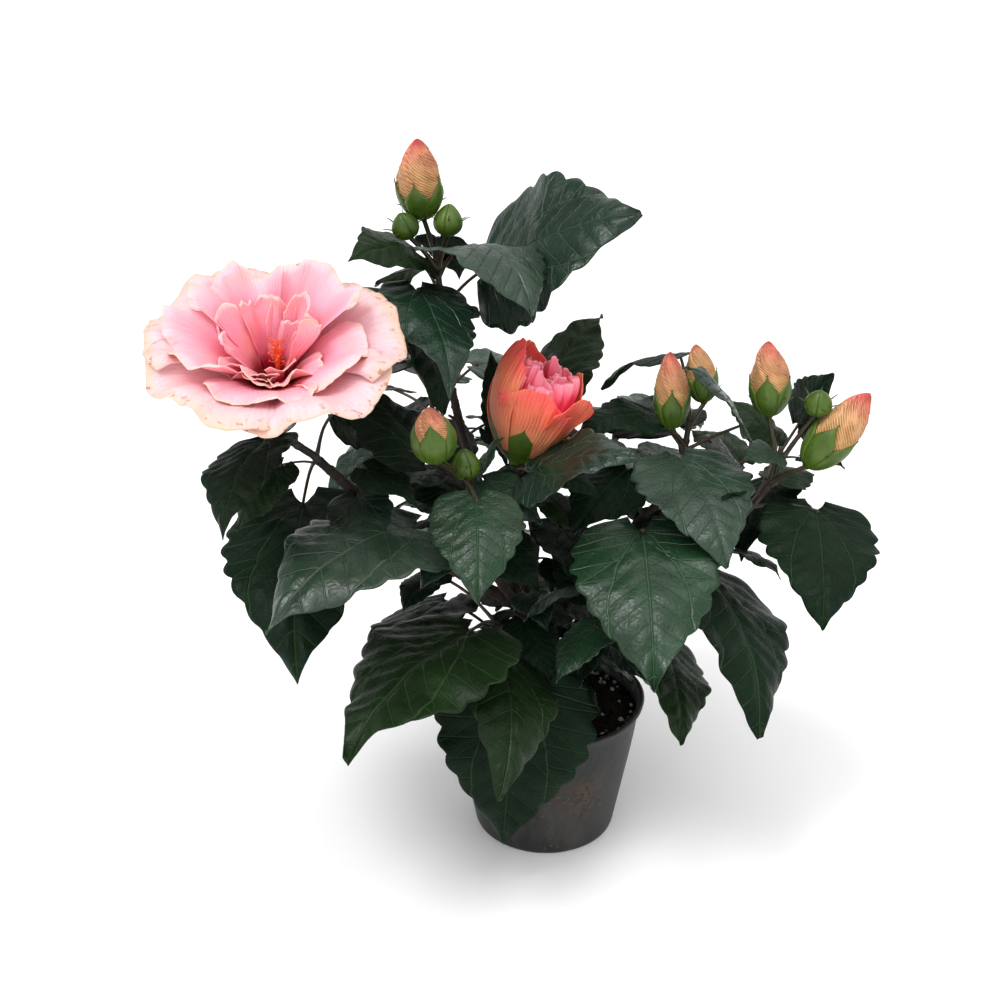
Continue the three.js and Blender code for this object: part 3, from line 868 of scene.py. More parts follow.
@dataclass(frozen=True)
class Pot:
    """The thin nursery pot, bare of any lettering."""

    rim: float = 65
    foot: float = 46
    height: float = 93
    wall: float = 1.6
    lip: float = 2.2
    lip_drop: float = 4
    floor: float = 2.4
    hollow: float = 0.9
    drains: int = 5
    drain_out: float = 32
    drain_radius: float = 4
    soft_from: float = 60
    steps: int = 130

    def radius(self, z: float) -> float:
        """The outer wall's radius at a height."""
        return lerp(self.foot, self.rim - self.lip, z / self.height)

    def profile(self) -> list[Pair]:
        """The foot, the outer wall, the lip, the inner wall and the floor, from the axis and back to it.

        Returns:
            The radius and height of each ring.
        """
        neck = self.height - self.lip_drop
        throat = self.radius(neck)
        rings = [self.drain_out + step for step in (-6, -3, 0, 3, 6)]
        return [
            (0, self.hollow), *((r, self.hollow) for r in rings), (42.5, 0), (44.6, 0), (45.8, 1.0),
            (self.radius(3), 3), *((self.radius(z), z) for z in (6, 12, 25, 40, 55, 70, 82, neck - 2.5)),
            (throat + 0.25, neck - 0.8), (throat + 0.9, neck - 0.1), (throat + 1.7, neck + 0.7),
            (self.rim - 0.25, neck + 1.8), (self.rim, self.height - 0.8), (self.rim - 0.7, self.height),
            (self.rim - 1.9, self.height - 0.1), (self.radius(self.height) - self.wall, self.height - 1),
            *((self.radius(z) - self.wall, z) for z in (80, 50, 20, self.floor + 1.5)),
            (self.radius(3) - 4, self.floor), *((r, self.floor) for r in reversed(rings)), (0, self.floor)]

    def open_drain(self, bm: bmesh.types.BMesh, turn: float) -> None:
        """Cuts one round drain hole through the floor and walls its sides.

        Args:
            bm: The pot's mesh.
            turn: Where the hole is round the pot, in radians.
        """
        middle = Vector((math.cos(turn), math.sin(turn))) * self.drain_out
        reach = self.drain_radius + 0.3
        cut = []
        for face in bm.faces:
            centre = face.calc_center_median()
            if centre.z < 3 and (centre.xy - middle).length < reach:
                cut.append(face)
        edges = {e for f in cut for e in f.edges}
        bmesh.ops.delete(bm, geom=cut, context="FACES_ONLY")
        rim = [e for e in edges if e.is_valid and len(e.link_faces) == 1]
        for vert in {v for e in rim for v in e.verts}:
            vert.co.xy = middle + (vert.co.xy - middle).normalized() * self.drain_radius
        bmesh.ops.bridge_loops(bm, edges=rim)
        bmesh.ops.delete(bm, geom=[v for v in bm.verts if not v.link_faces], context="VERTS")

    def warp(self, co: Vector) -> None:
        """Bends the top of the wall out of round and makes the lip ragged.

        Args:
            co: The place of one of the mesh's points, which is moved.
        """
        out, turn = co.xy.length, math.atan2(co.y, co.x)
        share = smooth(self.soft_from, self.height, co.z)
        sway = 0.9 * math.sin(2 * turn + 0.6) + 0.25 * math.sin(5 * turn) - 1.0
        ragged = 0.35 * noise.noise(Vector((9 * math.cos(turn), 9 * math.sin(turn), 4)))
        co.xy *= 1 + share * sway / out
        co.z += ragged * smooth(self.height - self.lip_drop, self.height, co.z)

    def build(self, palette: Palette) -> None:
        """Makes the pot.

        Args:
            palette: The finishes.
        """
        bm = bmesh.new()
        revolve(bm, self.profile(), self.steps)
        for i in range(self.drains):
            self.open_drain(bm, 2 * math.pi * i / self.drains)
        for vert in bm.verts:
            if vert.co.z > self.soft_from:
                self.warp(vert.co)
        Piece("pot_shell", "pot", ("pot",), palette.of(PLASTIC)).make(bm)


@dataclass(frozen=True)
class Compost:
    """Dark compost with crumbs, perlite grains and a few roots at the rim."""

    edge: float = 58.8
    level: float = 84
    crown: float = 87
    cells: int = 110
    crumbs: int = 700
    grains: int = 90
    seed: int = 4519
    roots: tuple[Pair, ...] = ((-32, 16), (-24, 12), (-40, 10), (160, 14), (95, 12), (-75, 9))

    def at(self, x: float, y: float) -> Vector:
        """The surface's point.

        Args:
            x: The place along X.
            y: The place along Y.

        Returns:
            The point, with its height.
        """
        out = math.hypot(x, y)
        lumps = 1.7 * noise.fractal(Vector((x, y, 3)) * 0.085, 0.8, 2.1, 4)
        plain = lerp(self.crown, self.level, smooth(16, self.edge, out)) - 0.6
        return Vector((x, y, plain + lumps - 3 * smooth(57, 61, out)))

    def scatter(self, run: Run, inner: float, outer: float) -> Vector:
        """A place on the surface between two shares of its radius.

        Args:
            run: The numbers that choose it.
            inner: The least share.
            outer: The greatest share.

        Returns:
            The place.
        """
        turn = run.between(0, 2 * math.pi)
        out = self.edge * math.sqrt(run.between(inner**2, outer**2 - inner**2))
        return self.at(out * math.cos(turn), out * math.sin(turn))

    def surface(self, run: Run) -> bmesh.types.BMesh:
        """The surface with its crumbs.

        Args:
            run: The numbers that choose them.

        Returns:
            The mesh.
        """
        bm = bmesh.new()
        for vert in bmesh.ops.create_grid(bm, x_segments=self.cells, y_segments=self.cells, size=1)["verts"]:
            x, y = vert.co.xy
            share = max(abs(x), abs(y)) / (math.hypot(x, y) or 1) * self.edge
            vert.co = self.at(x * share, y * share)
        for _ in range(self.crumbs):
            lump(bm, self.scatter(run, 0.05, 0.97), run.between(0.6, 1.9), run, 1, 0.7)
        return bm

    def perlite(self, run: Run) -> bmesh.types.BMesh:
        """The perlite grains, more of them at the rim and on the +X side.

        Args:
            run: The numbers that choose them.

        Returns:
            The mesh.
        """
        bm = bmesh.new()
        for i in range(self.grains):
            place = self.scatter(run, 0.8, 0.99) if i % 3 else self.scatter(run, 0.2, 0.9)
            if i % 2 and place.x < 0:
                place.x, place.y = -place.x, place.y
            lump(bm, place + Vector((0, 0, 0.5)), run.between(0.5, 1.4), run, 2)
        return bm

    def root(self, bm: bmesh.types.BMesh, start: float, swing: float) -> None:
        """Adds one fine root that winds along the rim.

        Args:
            bm: The mesh it joins.
            start: Where it starts round the pot, in degrees.
            swing: How far round it goes, in degrees.
        """
        points = []
        for i in range(5):
            turn = math.radians(start + swing * i / 4)
            out = self.edge - 2.5 + 2.2 * math.sin(1.7 * i)
            place = self.at(out * math.cos(turn), out * math.sin(turn))
            points.append(place + Vector((0, 0, 1.4 * math.sin(math.pi * i / 4))))
        tube(bm, Curve(points), Taper(0.75, 0.3, 0.3), 6, 20)

    def build(self, palette: Palette) -> None:
        """Makes the surface, the perlite and the roots.

        Args:
            palette: The finishes.
        """
        run, roots = Run(self.seed), bmesh.new()
        Piece("compost", "soil", ("soil",), palette.of(COMPOST)).make(self.surface(run))
        Piece("perlite_grains", "perlite", ("soil",), palette.of(PERLITE)).make(self.perlite(run))
        for start, swing in self.roots:
            self.root(roots, start, swing)
        Piece("fine_roots", "root", ("soil",), palette.of(ROOT)).make(roots)


# ---- Wood -----------------------------------------------------------------------------------------


@dataclass(frozen=True)
class Limb:
    """The trunk or a bough: its path and its radii at both ends."""

    path: tuple[Point, ...]
    radii: Pair

    @property
    def curve(self) -> Curve:
        """The line it follows."""
        return Curve(self.path)


TRUNK = Limb(((0, 0, 87.3), (0, 0, 97), (-1, 0, 112), (-6, 0, 133), (-20, 0, 163)), (5.6, 4.4))
BOUGHS = {
    "bough_top": Limb(((-19, 0, 160), (-36, 10, 213), (-52, 15, 265), (-59, 12, 298)), (3.4, 2.4)),
    "bough_left": Limb(((-18, 0, 158), (-67, -20, 199), (-110, -50, 254), (-131, -62, 281)), (3.6, 2.5)),
    "bough_front": Limb(((-17, -1, 156), (-38, -27, 202), (-47, -44, 245)), (3.0, 2.1)),
    "bough_centre": Limb(((-14, 0, 150), (-8, 6, 198), (-14, -12, 236)), (3.2, 2.4)),
    "bough_right": Limb(((-6, 0, 131), (34, 12, 183), (68, 6, 226)), (3.8, 2.6)),
    "bough_outer": Limb(((-2, 0, 112), (58, -12, 163), (104, -22, 214)), (3.6, 2.4)),
    "bough_back_left": Limb(((-12, 1, 147), (-40, 38, 190), (-62, 62, 236)), (3.2, 2.2)),
    "bough_back_right": Limb(((-3, 0, 122), (16, 45, 164), (35, 76, 204)), (3.2, 2.2)),
}


@dataclass(frozen=True)
class Wood:
    """The trunk and its boughs as one branching piece with bark, leaf scars and short stubs."""

    flare: float = 0.35
    rings: int = 110
    seed: int = 811
    stub: Taper = Taper(1.5, 0.8, 0.2, 0.4)

    def bark(self, limb: Limb) -> Bark:
        """A limb's radius."""
        return Bark(*limb.radii, flare=self.flare, length=limb.curve.length)

    def build(self, palette: Palette) -> None:
        """Makes the wood, with two stubs on each bough.

        Args:
            palette: The finishes.
        """
        run, bm = Run(self.seed), bmesh.new()
        tube(bm, Curve([(0.5, 0, 78), *TRUNK.path]), self.bark(TRUNK), 28, self.rings)
        for limb in BOUGHS.values():
            curve = limb.curve
            tube(bm, curve, self.bark(limb), 20, self.rings)
            for t in (run.between(0.25, 0.2), run.between(0.6, 0.25)):
                base, way = curve.at(t), direction(run.between(0, 360), run.between(0, 60))
                tip = base + (way + curve.tangent(t) * 0.7).normalized() * run.between(6, 5)
                tube(bm, Curve([base, base.lerp(tip, 0.5), tip]), self.stub, 8, 8)
        Piece("branching_wood", "bark", ("trunk", *BOUGHS), palette.of(BARK)).make(bm)


# ---- Leaves ---------------------------------------------------------------------------------------


@dataclass(frozen=True)
class Leaf:
    """One leaf. Its blade follows the same rule as its solid, with teeth, veins and a wavy edge."""

    axes: Axes
    length: float
    width: float
    arch: float
    tone: int
    phase: float
    lobe: float = 0.16
    fold: float = -0.12
    teeth: float = 8.5
    tooth: float = 0.105
    wave: float = 0.034
    curl: float = 0.03
    quilt: float = 0.013
    groove: float = 0.011

    @staticmethod
    def of(row: Sequence[float], tone: int) -> "Leaf":
        """Reads a leaf from its row.

        Args:
            row: Its base, heading, pitch, roll, length, width and arch.
            tone: Its tone's place in the list of tones.

        Returns:
            The leaf.
        """
        x, y, z, heading, pitch, roll, length, width, arch = row
        return Leaf(Axes.at((x, y, z), heading, pitch, roll), length, width, arch, tone, (x + y + z) % 6.28)

    def breadth(self, s: float) -> float:
        """Half the blade's breadth at s."""
        return 0.5 * self.length * self.width * 2.8 * math.sqrt(s + 0.004) * (1.012 - s) ** 1.25

    def point(self, s: float, u: float) -> Vector:
        """The plain surface's point.

        Args:
            s: The share of the way along.
            u: The share of the way across.

        Returns:
            The point.
        """
        breadth = self.breadth(s)
        along = self.length * (s - self.lobe * abs(u) * (1 - s) ** 4)
        lift = 4 * self.length * self.arch * s * (1 - s) + self.fold * abs(u) * breadth
        return self.axes.point(along, u * breadth, lift)

    def spread(self, across: float) -> float:
        """The place across the blade of an even step, closer toward the edges."""
        return -(0.6 * across + 0.4 * math.sin(0.5 * math.pi * across))

    def flat(self, s: float, across: float) -> Pair:
        """The blade laid flat, in lengths of the blade, with the midrib at x = 0.5."""
        u = self.spread(across)
        return 0.5 + u * self.breadth(s) / self.length, s - self.lobe * abs(u) * (1 - s) ** 4

    def margin(self, s: float) -> float:
        """The edge's rounded teeth, each leaning to the tip.

        Args:
            s: The share of the way along.

        Returns:
            How far the edge stands out, as a share of the breadth.
        """
        saw = (self.teeth * s**0.9 + 0.16 * self.phase) % 1
        scallop = math.sin(math.pi * saw**1.5) ** 0.7
        return self.tooth * (scallop - 0.6) * smooth(0.06, 0.28, s) * (1 - 0.5 * smooth(0.85, 1, s))

    def relief(self, s: float, u: float, x: float, y: float) -> float:
        """The height of the quilting between the veins, less the grooves along the main ones.

        Args:
            s: The share of the way along.
            u: The share of the way across.
            x: The place out from the midrib on the blade laid flat.
            y: The place along it.

        Returns:
            The height, in lengths of the blade.
        """
        quilt = abs(math.sin(math.pi * VEINS.run(x, y) / VEINS.gap)) ** 0.8
        rib = math.exp(-((x / 0.015) ** 2)) + 0.8 * math.exp(-((VEINS.arc(x, y) / 0.014) ** 2))
        return self.quilt * quilt * smooth(0.0, 0.05, x) * (1 - u**6) - self.groove * rib

    def fine(self, s: float, across: float) -> Vector:
        """The blade's point with teeth, quilting between the veins and a wave along its edge.

        Args:
            s: The share of the way along.
            across: The even step across.

        Returns:
            The point.
        """
        u = self.spread(across)
        x, y = self.flat(s, across)
        side = 1.0 if u > 0 else 0.0
        turn = 2 * math.pi * (1.7 + 0.25 * math.cos(self.phase)) * s + self.phase + 1.4 * side
        wave = self.wave * math.sin(turn) + 0.010 * math.sin(2.6 * turn + side)
        wave *= u * u * smooth(0.03, 0.3, s)
        curl = -self.curl * smooth(0.7, 1, s) ** 2
        blunt = 0.45 * abs(u) * (1 - smooth(0, 0.11, s))
        notch = self.length * self.lobe * (abs(u) - abs(u) ** 1.7 + blunt) * (1 - s) ** 4
        spot = self.point(s, u * (1 + self.margin(s) * abs(u) ** 7)) + self.axes.d * notch
        sag = 1.8 * noise.noise(spot * 0.035) + 0.7 * noise.noise(spot * 0.11)
        lift = self.length * (self.relief(s, u, abs(x - 0.5), y) + wave + curl) + sag
        lean = self.length * 0.03 * math.sin(3 * self.phase) * s * s
        return spot + self.axes.up * lift + self.axes.side * lean

    def add(self, bm: bmesh.types.BMesh) -> None:
        """Adds the blade, more finely the longer it is. Each tone has an upper face and an underside."""
        across, along = (22, 62) if self.length > 50 else (18, 42) if self.length > 42 else (14, 28)
        sheet(bm, across, along, self.fine, self.flat, 2 * (self.tone % len(Tone)))

    def foot(self, sink: float) -> Vector:
        """The place a stalk joins, a little below the blade."""
        return self.point(0.03, 0) - self.axes.up * sink

    def probes(self) -> list[Vector]:
        """Points all over the blade."""
        return [self.point(s, u) for s in (0.05, 0.25, 0.45, 0.65, 0.85, 1.0) for u in (-1, -0.5, 0, 0.5, 1)]


def joint_on(curve: Curve, place: Vector) -> Vector:
    """The point of a stem that a stalk to a place branches from.

    Args:
        curve: The stem.
        place: Where the stalk ends.

    Returns:
        The point.
    """
    low = place - Vector((0, 0, 0.5 * (curve.at(0.5) - place).length))
    return min((curve.at(lerp(0.15, 1, i / 17)) for i in range(18)), key=lambda p: (p - low).length)


@dataclass(frozen=True)
class Fill:
    """A seeded run of leaves along a stem, each kept only where it is clear of everything placed."""

    count: int
    start: float
    end: float
    heading: float
    sector: float
    length: float
    seed: int
    tries: int = 150
    clear: float = 13
    lowest: float = 60

    def leaf(self, run: Run, curve: Curve, tone: int) -> Leaf:
        """The next leaf of the run, wherever it falls.

        Args:
            run: The numbers that choose it.
            curve: The stem.
            tone: Its tone.

        Returns:
            The leaf.
        """
        joint = curve.at(run.between(self.start, self.end - self.start))
        heading = run.between(self.heading, self.sector)
        base = joint + direction(heading, run.between(5, 45)) * run.between(22, 20)
        blade = heading + 40 * (run.next() - 0.5)
        pitch = -run.between(8, 38)
        roll = 50 * (run.next() - 0.5)
        return Leaf.of((*base, blade, pitch, roll, self.length * run.between(0.8, 0.3), 0.8, 0.1), tone)

    def leaves(self, curve: Curve, taken: list[Vector]) -> list[Leaf]:
        """Places the leaves and adds their points to those taken.

        Args:
            curve: The stem.
            taken: Points to keep clear of.

        Returns:
            The leaves kept.
        """
        run, kept, own = Run(self.seed * 7919), [], []
        tree = kdtree.KDTree(len(taken))
        for i, point in enumerate(taken):
            tree.insert(point, i)
        tree.balance()
        for _ in range(self.count * self.tries):
            if len(kept) == self.count:
                break
            leaf = self.leaf(run, curve, len(kept) + self.seed)
            probes = leaf.probes()
            if all(p.z > self.lowest and tree.find(p)[2] > self.clear
                   and all((p - q).length > self.clear for q in own) for p in probes):
                kept.append(leaf)
                own.extend(probes)
        taken.extend(own)
        return kept


# ---- Buds and blooms ------------------------------------------------------------------------------


class Head:
    """What buds and blooms share: a calyx of lobes, with thin bracts beneath it."""

    LOBES = 5
    LOBE_STEP = 72
    BRACTS = 7
    BRACT_STEP = 51.4

    def lobe(self, index: int, s: float, u: float) -> Vector:
        """The point of one lobe of the calyx."""
        raise NotImplementedError

    def bract(self, index: int, s: float, u: float) -> Vector:
        """The point of one bract."""
        raise NotImplementedError

    def add_calyx(self, bm: bmesh.types.BMesh) -> None:
        """Adds the lobes and the bracts.

        Args:
            bm: The mesh they join.
        """
        for i in range(self.LOBES):
            sheet(bm, 12, 20, partial(self.lobe, i))
        for i in range(self.BRACTS):
            sheet(bm, 2, 8, partial(self.bract, i))


def beside(axes: Axes, turn: float, s: float, u: float) -> Vector:
    """The step across a bract, from its middle line to u.

    Args:
        axes: The axes of its bud or bloom.
        turn: Where the bract is round them, in radians.
        s: The share of the way along.
        u: The share of the way across.

    Returns:
        The step.
    """
    return axes.out(turn + math.pi / 2) * (u * 0.8 * (1 - s) ** 0.6)


@dataclass(frozen=True)
class Bud(Head):
    """A closed bud: petals lapped in a twist, held by a five-lobed calyx with thin bracts below."""

    axes: Axes
    length: float
    radius: float
    cover: float
    wall: float = 0.9
    bend: float = 0.18

    @staticmethod
    def of(row: Sequence[float]) -> "Bud":
        """Reads a bud from its row. The shorter it is, the more of it is still shut in.

        Args:
            row: Its base, heading, pitch, length and radius.

        Returns:
            The bud.
        """
        x, y, z, heading, pitch, length, radius = row
        cover = 1.0 if length < 20 else 0.86 if length < 35 else 0.56
        return Bud(Axes.at((x, y, z), heading, pitch), length, radius, cover)

    @property
    def shut(self) -> bool:
        """Whether the calyx still covers the petals."""
        return self.cover == 1.0

    def profile(self, t: float) -> float:
        """The plain radius at t from base to tip."""
        return self.radius * max(math.sin(math.pi * min(max(t, 0), 1) ** 0.8), 0) ** 0.7

    def along(self, co: Vector) -> float:
        """The share of the way from base to tip of a point on a ball of radius 1."""
        return math.acos(max(-1, min(1, -co.z))) / math.pi

    def lay(self, face: bmesh.types.BMFace, layer: bmesh.types.BMLayerItem) -> None:
        """Gives a ball's face its UV: how far round it is, without a jump at the seam, and how far along.

        Args:
            face: The face.
            layer: The mesh's UV layer.
        """
        centre = face.calc_center_median()
        middle = math.atan2(centre.y, centre.x)
        for loop in face.loops:
            co = loop.vert.co
            turn = math.atan2(co.y, co.x) if co.xy.length > 0.001 else middle
            turn += 2 * math.pi * round((middle - turn) / (2 * math.pi))
            loop[layer].uv = (turn / (2 * math.pi), self.along(co))

    def petal(self, co: Vector) -> Vector:
        """Carries a point of a ball to the lapped petals, creased along their folds.

        Args:
            co: The point on the ball.

        Returns:
            The point on the petals.
        """
        phase = self.length % 3
        t, turn = self.along(co), math.atan2(co.y, co.x)
        lap = (BUD_LAPS * (turn / (2 * math.pi)) + BUD_LAP_TWIST * t + phase) % 1
        fold = turn + 2.6 * t
        crease = noise.noise(Vector((6 * math.cos(fold), 6 * math.sin(fold), 3 * t + phase)))
        tip = smooth(0.55, 0.95, t)
        share = 0.95 + (0.10 + 0.16 * tip) * (lap - 0.5) + (0.05 + 0.12 * tip) * crease
        spot = self.axes.round(turn, self.profile(t) * share, t * self.length)
        return spot + self.axes.side * self.radius * self.bend * smooth(0.5, 1, t)

    def add_petals(self, bm: bmesh.types.BMesh) -> None:
        """Adds the petals, unless they are still shut in.

        Args:
            bm: The mesh they join.
        """
        if self.shut:
            return
        verts = bmesh.ops.create_uvsphere(bm, u_segments=90, v_segments=48, radius=1)["verts"]
        layer = bm.loops.layers.uv.verify()
        for face in {f for v in verts for f in v.link_faces}:
            self.lay(face, layer)
        for vert in verts:
            vert.co = self.petal(vert.co)

    def lobe(self, index: int, s: float, u: float) -> Vector:
        """The point of one lobe of the calyx. It ends in a tip that stands off, unless the bud is shut.

        Args:
            index: Which lobe it is.
            s: The share of the way along.
            u: The share of the way across.

        Returns:
            The point.
        """
        t = s * self.cover
        narrow = 1 if self.shut else 1 - smooth(0.5, 1.0, s) ** 0.9
        seam = 0.35 * (1 - u * u) - 0.25 * abs(u) ** 8
        rib = 0.18 * math.cos(3 * math.pi * u) * (1 - s)
        off = 0 if self.shut else 0.7 * smooth(0.85, 1, s)
        reach = self.profile(t) * 0.98 + self.wall * (1 - 0.5 * s) + seam + rib + off
        least = 1.2 * (1 - s * self.shut)
        turn = math.radians(self.LOBE_STEP * index + u * 36.8 * narrow)
        return self.axes.round(turn, max(reach, least), t * self.length)

    def bract(self, index: int, s: float, u: float) -> Vector:
        """The point of one bract beneath the calyx, curving up and out.

        Args:
            index: Which bract it is.
            s: The share of the way along.
            u: The share of the way across.

        Returns:
            The point.
        """
        turn = math.radians(self.BRACT_STEP * index + 20)
        long = (0.6 if self.shut else 0.24) * self.length + 6
        reach = 1.6 + 0.75 * self.radius * s + (5.5 if self.shut else 3.2) * s * s
        return self.axes.round(turn, reach, -0.8 + long * s * (1 - 0.25 * s)) + beside(self.axes, turn, s, u)


def crinkle(s: float, u: float, index: float, size: float) -> float:
    """The height of the soft waves and frills near a petal's edge.

    Args:
        s: The share of the way along.
        u: The share of the way across.
        index: A number of the petal's own.
        size: The height of the highest of them.

    Returns:
        The height.
    """
    edge = max(smooth(0.4, 1, s) ** 1.3, 0.7 * smooth(0.5, 1, abs(u)) * smooth(0.15, 0.6, s))
    broad = math.sin(2 * math.pi * (0.8 * u + 0.37 * index) + 0.8 * math.sin(3 * u + index))
    frill = math.sin(2 * math.pi * (2.3 * u + 0.61 * index) + 1.5 * math.sin(5 * u + 2 * index))
    fine = noise.noise(Vector((13 * u + 5 * index, 5 * s, 2.1 * index)))
    return size * (edge * (0.48 * broad + 0.20 * frill) + 0.22 * fine * smooth(0.75, 1, s))


@dataclass(frozen=True)
class Bloom(Head):
    """What both double blooms share: a place, a way to face and a green calyx."""

    base: Point
    axis: Pair
    calyx_length: float = 20
    foot: float = 3.2
    mouth: float = 9

    @property
    def axes(self) -> Axes:
        """The bloom's own axes, with d out of its throat."""
        return Axes.at(self.base, *self.axis)

    def plain(self, index: float, s: float, u: float = 0) -> Vector:
        """The point of an outer petal before it is ruffled."""
        raise NotImplementedError

    def make(self, palette: Palette, mass: str) -> None:
        """Makes the petals of the bloom on a mass."""
        raise NotImplementedError

    def probes(self) -> list[Vector]:
        """Points round the bloom."""
        return [self.plain(i / 4, s) for i in range(20) for s in (0.2, 0.5, 0.75, 1)]

    def cup(self, s: float, reach: float) -> float:
        """The reach of a calyx lobe, from its plain reach. It is left as it is where nothing fills it."""
        return reach

    def lobe(self, index: int, s: float, u: float) -> Vector:
        """The point of one lobe of the calyx.

        Args:
            index: Which lobe it is.
            s: The share of the way along.
            u: The share of the way across.

        Returns:
            The point.
        """
        turn = math.radians(self.LOBE_STEP * index + u * 37 * (1 - smooth(0.5, 1, s) ** 0.8))
        reach = lerp(self.foot, self.mouth, min(s * 1.25, 1)) + 0.8 * (1 - u * u)
        return self.axes.round(turn, self.cup(s, reach), s * self.calyx_length * 1.25)

    def bract(self, index: int, s: float, u: float) -> Vector:
        """The point of one bract, curving out.

        Args:
            index: Which bract it is.
            s: The share of the way along.
            u: The share of the way across.

        Returns:
            The point.
        """
        turn = math.radians(self.BRACT_STEP * index)
        return self.axes.round(turn, 2.6 + 7 * s * s, 12 * s) + beside(self.axes, turn, s, u)


@dataclass(frozen=True)
class Ring:
    """A ring of open petals.

    It has a count, the turn of its first petal, the reach and rise of its edge, how far that curls
    back, half the angle a petal spreads over, and the heights of its waves and of its frills.
    """

    count: int
    turn: float
    reach: float
    rise: float
    curl: float
    spread: float
    wave: float
    frill: float


OPEN_RINGS = (
    Ring(5, 10, 67, 54, 8, 47, 4, 6.0),
    Ring(5, 46, 52, 62, 6, 42, 5, 7.5),
    Ring(5, 20, 30, 56, 2, 44, 5, 7.5),
    Ring(2, 50, 24, 50, 0, 46, 4, 6.0),
    Ring(1, 250, 22, 34, 3, 30, 4, 3.0),
    Ring(1, 312, 14, 42, 0, 60, 3, 2.5),
)
THROAT = 4


@dataclass(frozen=True)
class OpenPetal:
    """One open petal with its own cup and ruffles. Ring 0 is the outer ring.

    Inner petals toward the front lie low on the outer ring, with calmer ruffles.
    """

    ring: Ring
    number: int
    index: int

    @property
    def key(self) -> float:
        """A number of the petal's own."""
        return self.index + 5.3 * self.number

    @property
    def middle(self) -> float:
        """Where its middle is round the bloom, in radians."""
        return math.radians(self.ring.turn + 360 / self.ring.count * self.index)

    @property
    def front(self) -> float:
        """How far an inner petal is toward the front, from 0 to 1."""
        return max(-math.sin(self.middle), 0) ** 0.6 if self.number else 0

    @property
    def calm(self) -> float:
        """The share of the ruffles that is left."""
        return 1 - 0.5 * self.front

    def turn(self, s: float, u: float) -> float:
        """The turn round the bloom. The foot is narrow, more so on inner petals."""
        foot = 0.45 if self.number else 0.82
        return self.middle + math.radians(u * lerp(foot, 1, smooth(0, 0.45, s)) * self.ring.spread)

    def reach(self, s: float, u: float) -> float:
        """The reach from the bloom's axis.

        Args:
            s: The share of the way along.
            u: The share of the way across.

        Returns:
            The reach. Each side of a petal laps over the next one's.
        """
        plain = (self.ring.reach - THROAT) * s
        lapped = THROAT + 0.5 * u * (1 - s)
        if not self.number:
            return lapped + plain * (1 - 0.12 * abs(u) ** 4) * (1 - 0.05 * math.cos(self.turn(s, u) - 2.2))
        fold = 2.8 * math.sin(6 * u + 2.1 * self.key + 2 * s) + 2.0 * math.sin(2.7 * self.key)
        drawn = (5.0 if self.number == 2 else 2.0) * smooth(0.6, 1, s) ** 2 * (1 - self.front)
        return lapped + plain * (1 - 0.22 * abs(u) ** 4) + smooth(0.15, 0.8, s) * self.calm * fold - drawn

    def height(self, s: float, u: float, reach: float) -> float:
        """The height above the throat.

        Args:
            s: The share of the way along.
            u: The share of the way across.
            reach: The reach there.

        Returns:
            The height.
        """
        ring, outer, key = self.ring, OPEN_RINGS[0], self.key
        dome = 4.0 * math.sin(1.9 * key) if self.number else 0
        if self.number == 1:
            dome += 6 * max(math.sin(self.middle), 0)
        rise = ring.rise * s**0.6 - ring.curl * s**4 - 3 * smooth(0.8, 1, s) ** 2 + dome * s * s
        share = min(max((reach - THROAT) / (outer.reach - THROAT), 0), 1)
        lying = outer.rise * share**0.6 - outer.curl * share**4 + 3.2 * self.number * smooth(0, 0.3, s)
        wave = 0.55 * ring.wave * s * s * math.cos(2.5 * math.pi * u + 2 * self.index)
        cup = ring.wave * 1.3 * noise.noise(Vector((1.3 * u + key, 1.2 * s, key * 2.3))) * s * self.calm
        frill = crinkle(s, u, key, ring.frill * self.calm)
        return lerp(rise, lying, self.front) + (wave + cup) * self.calm + frill


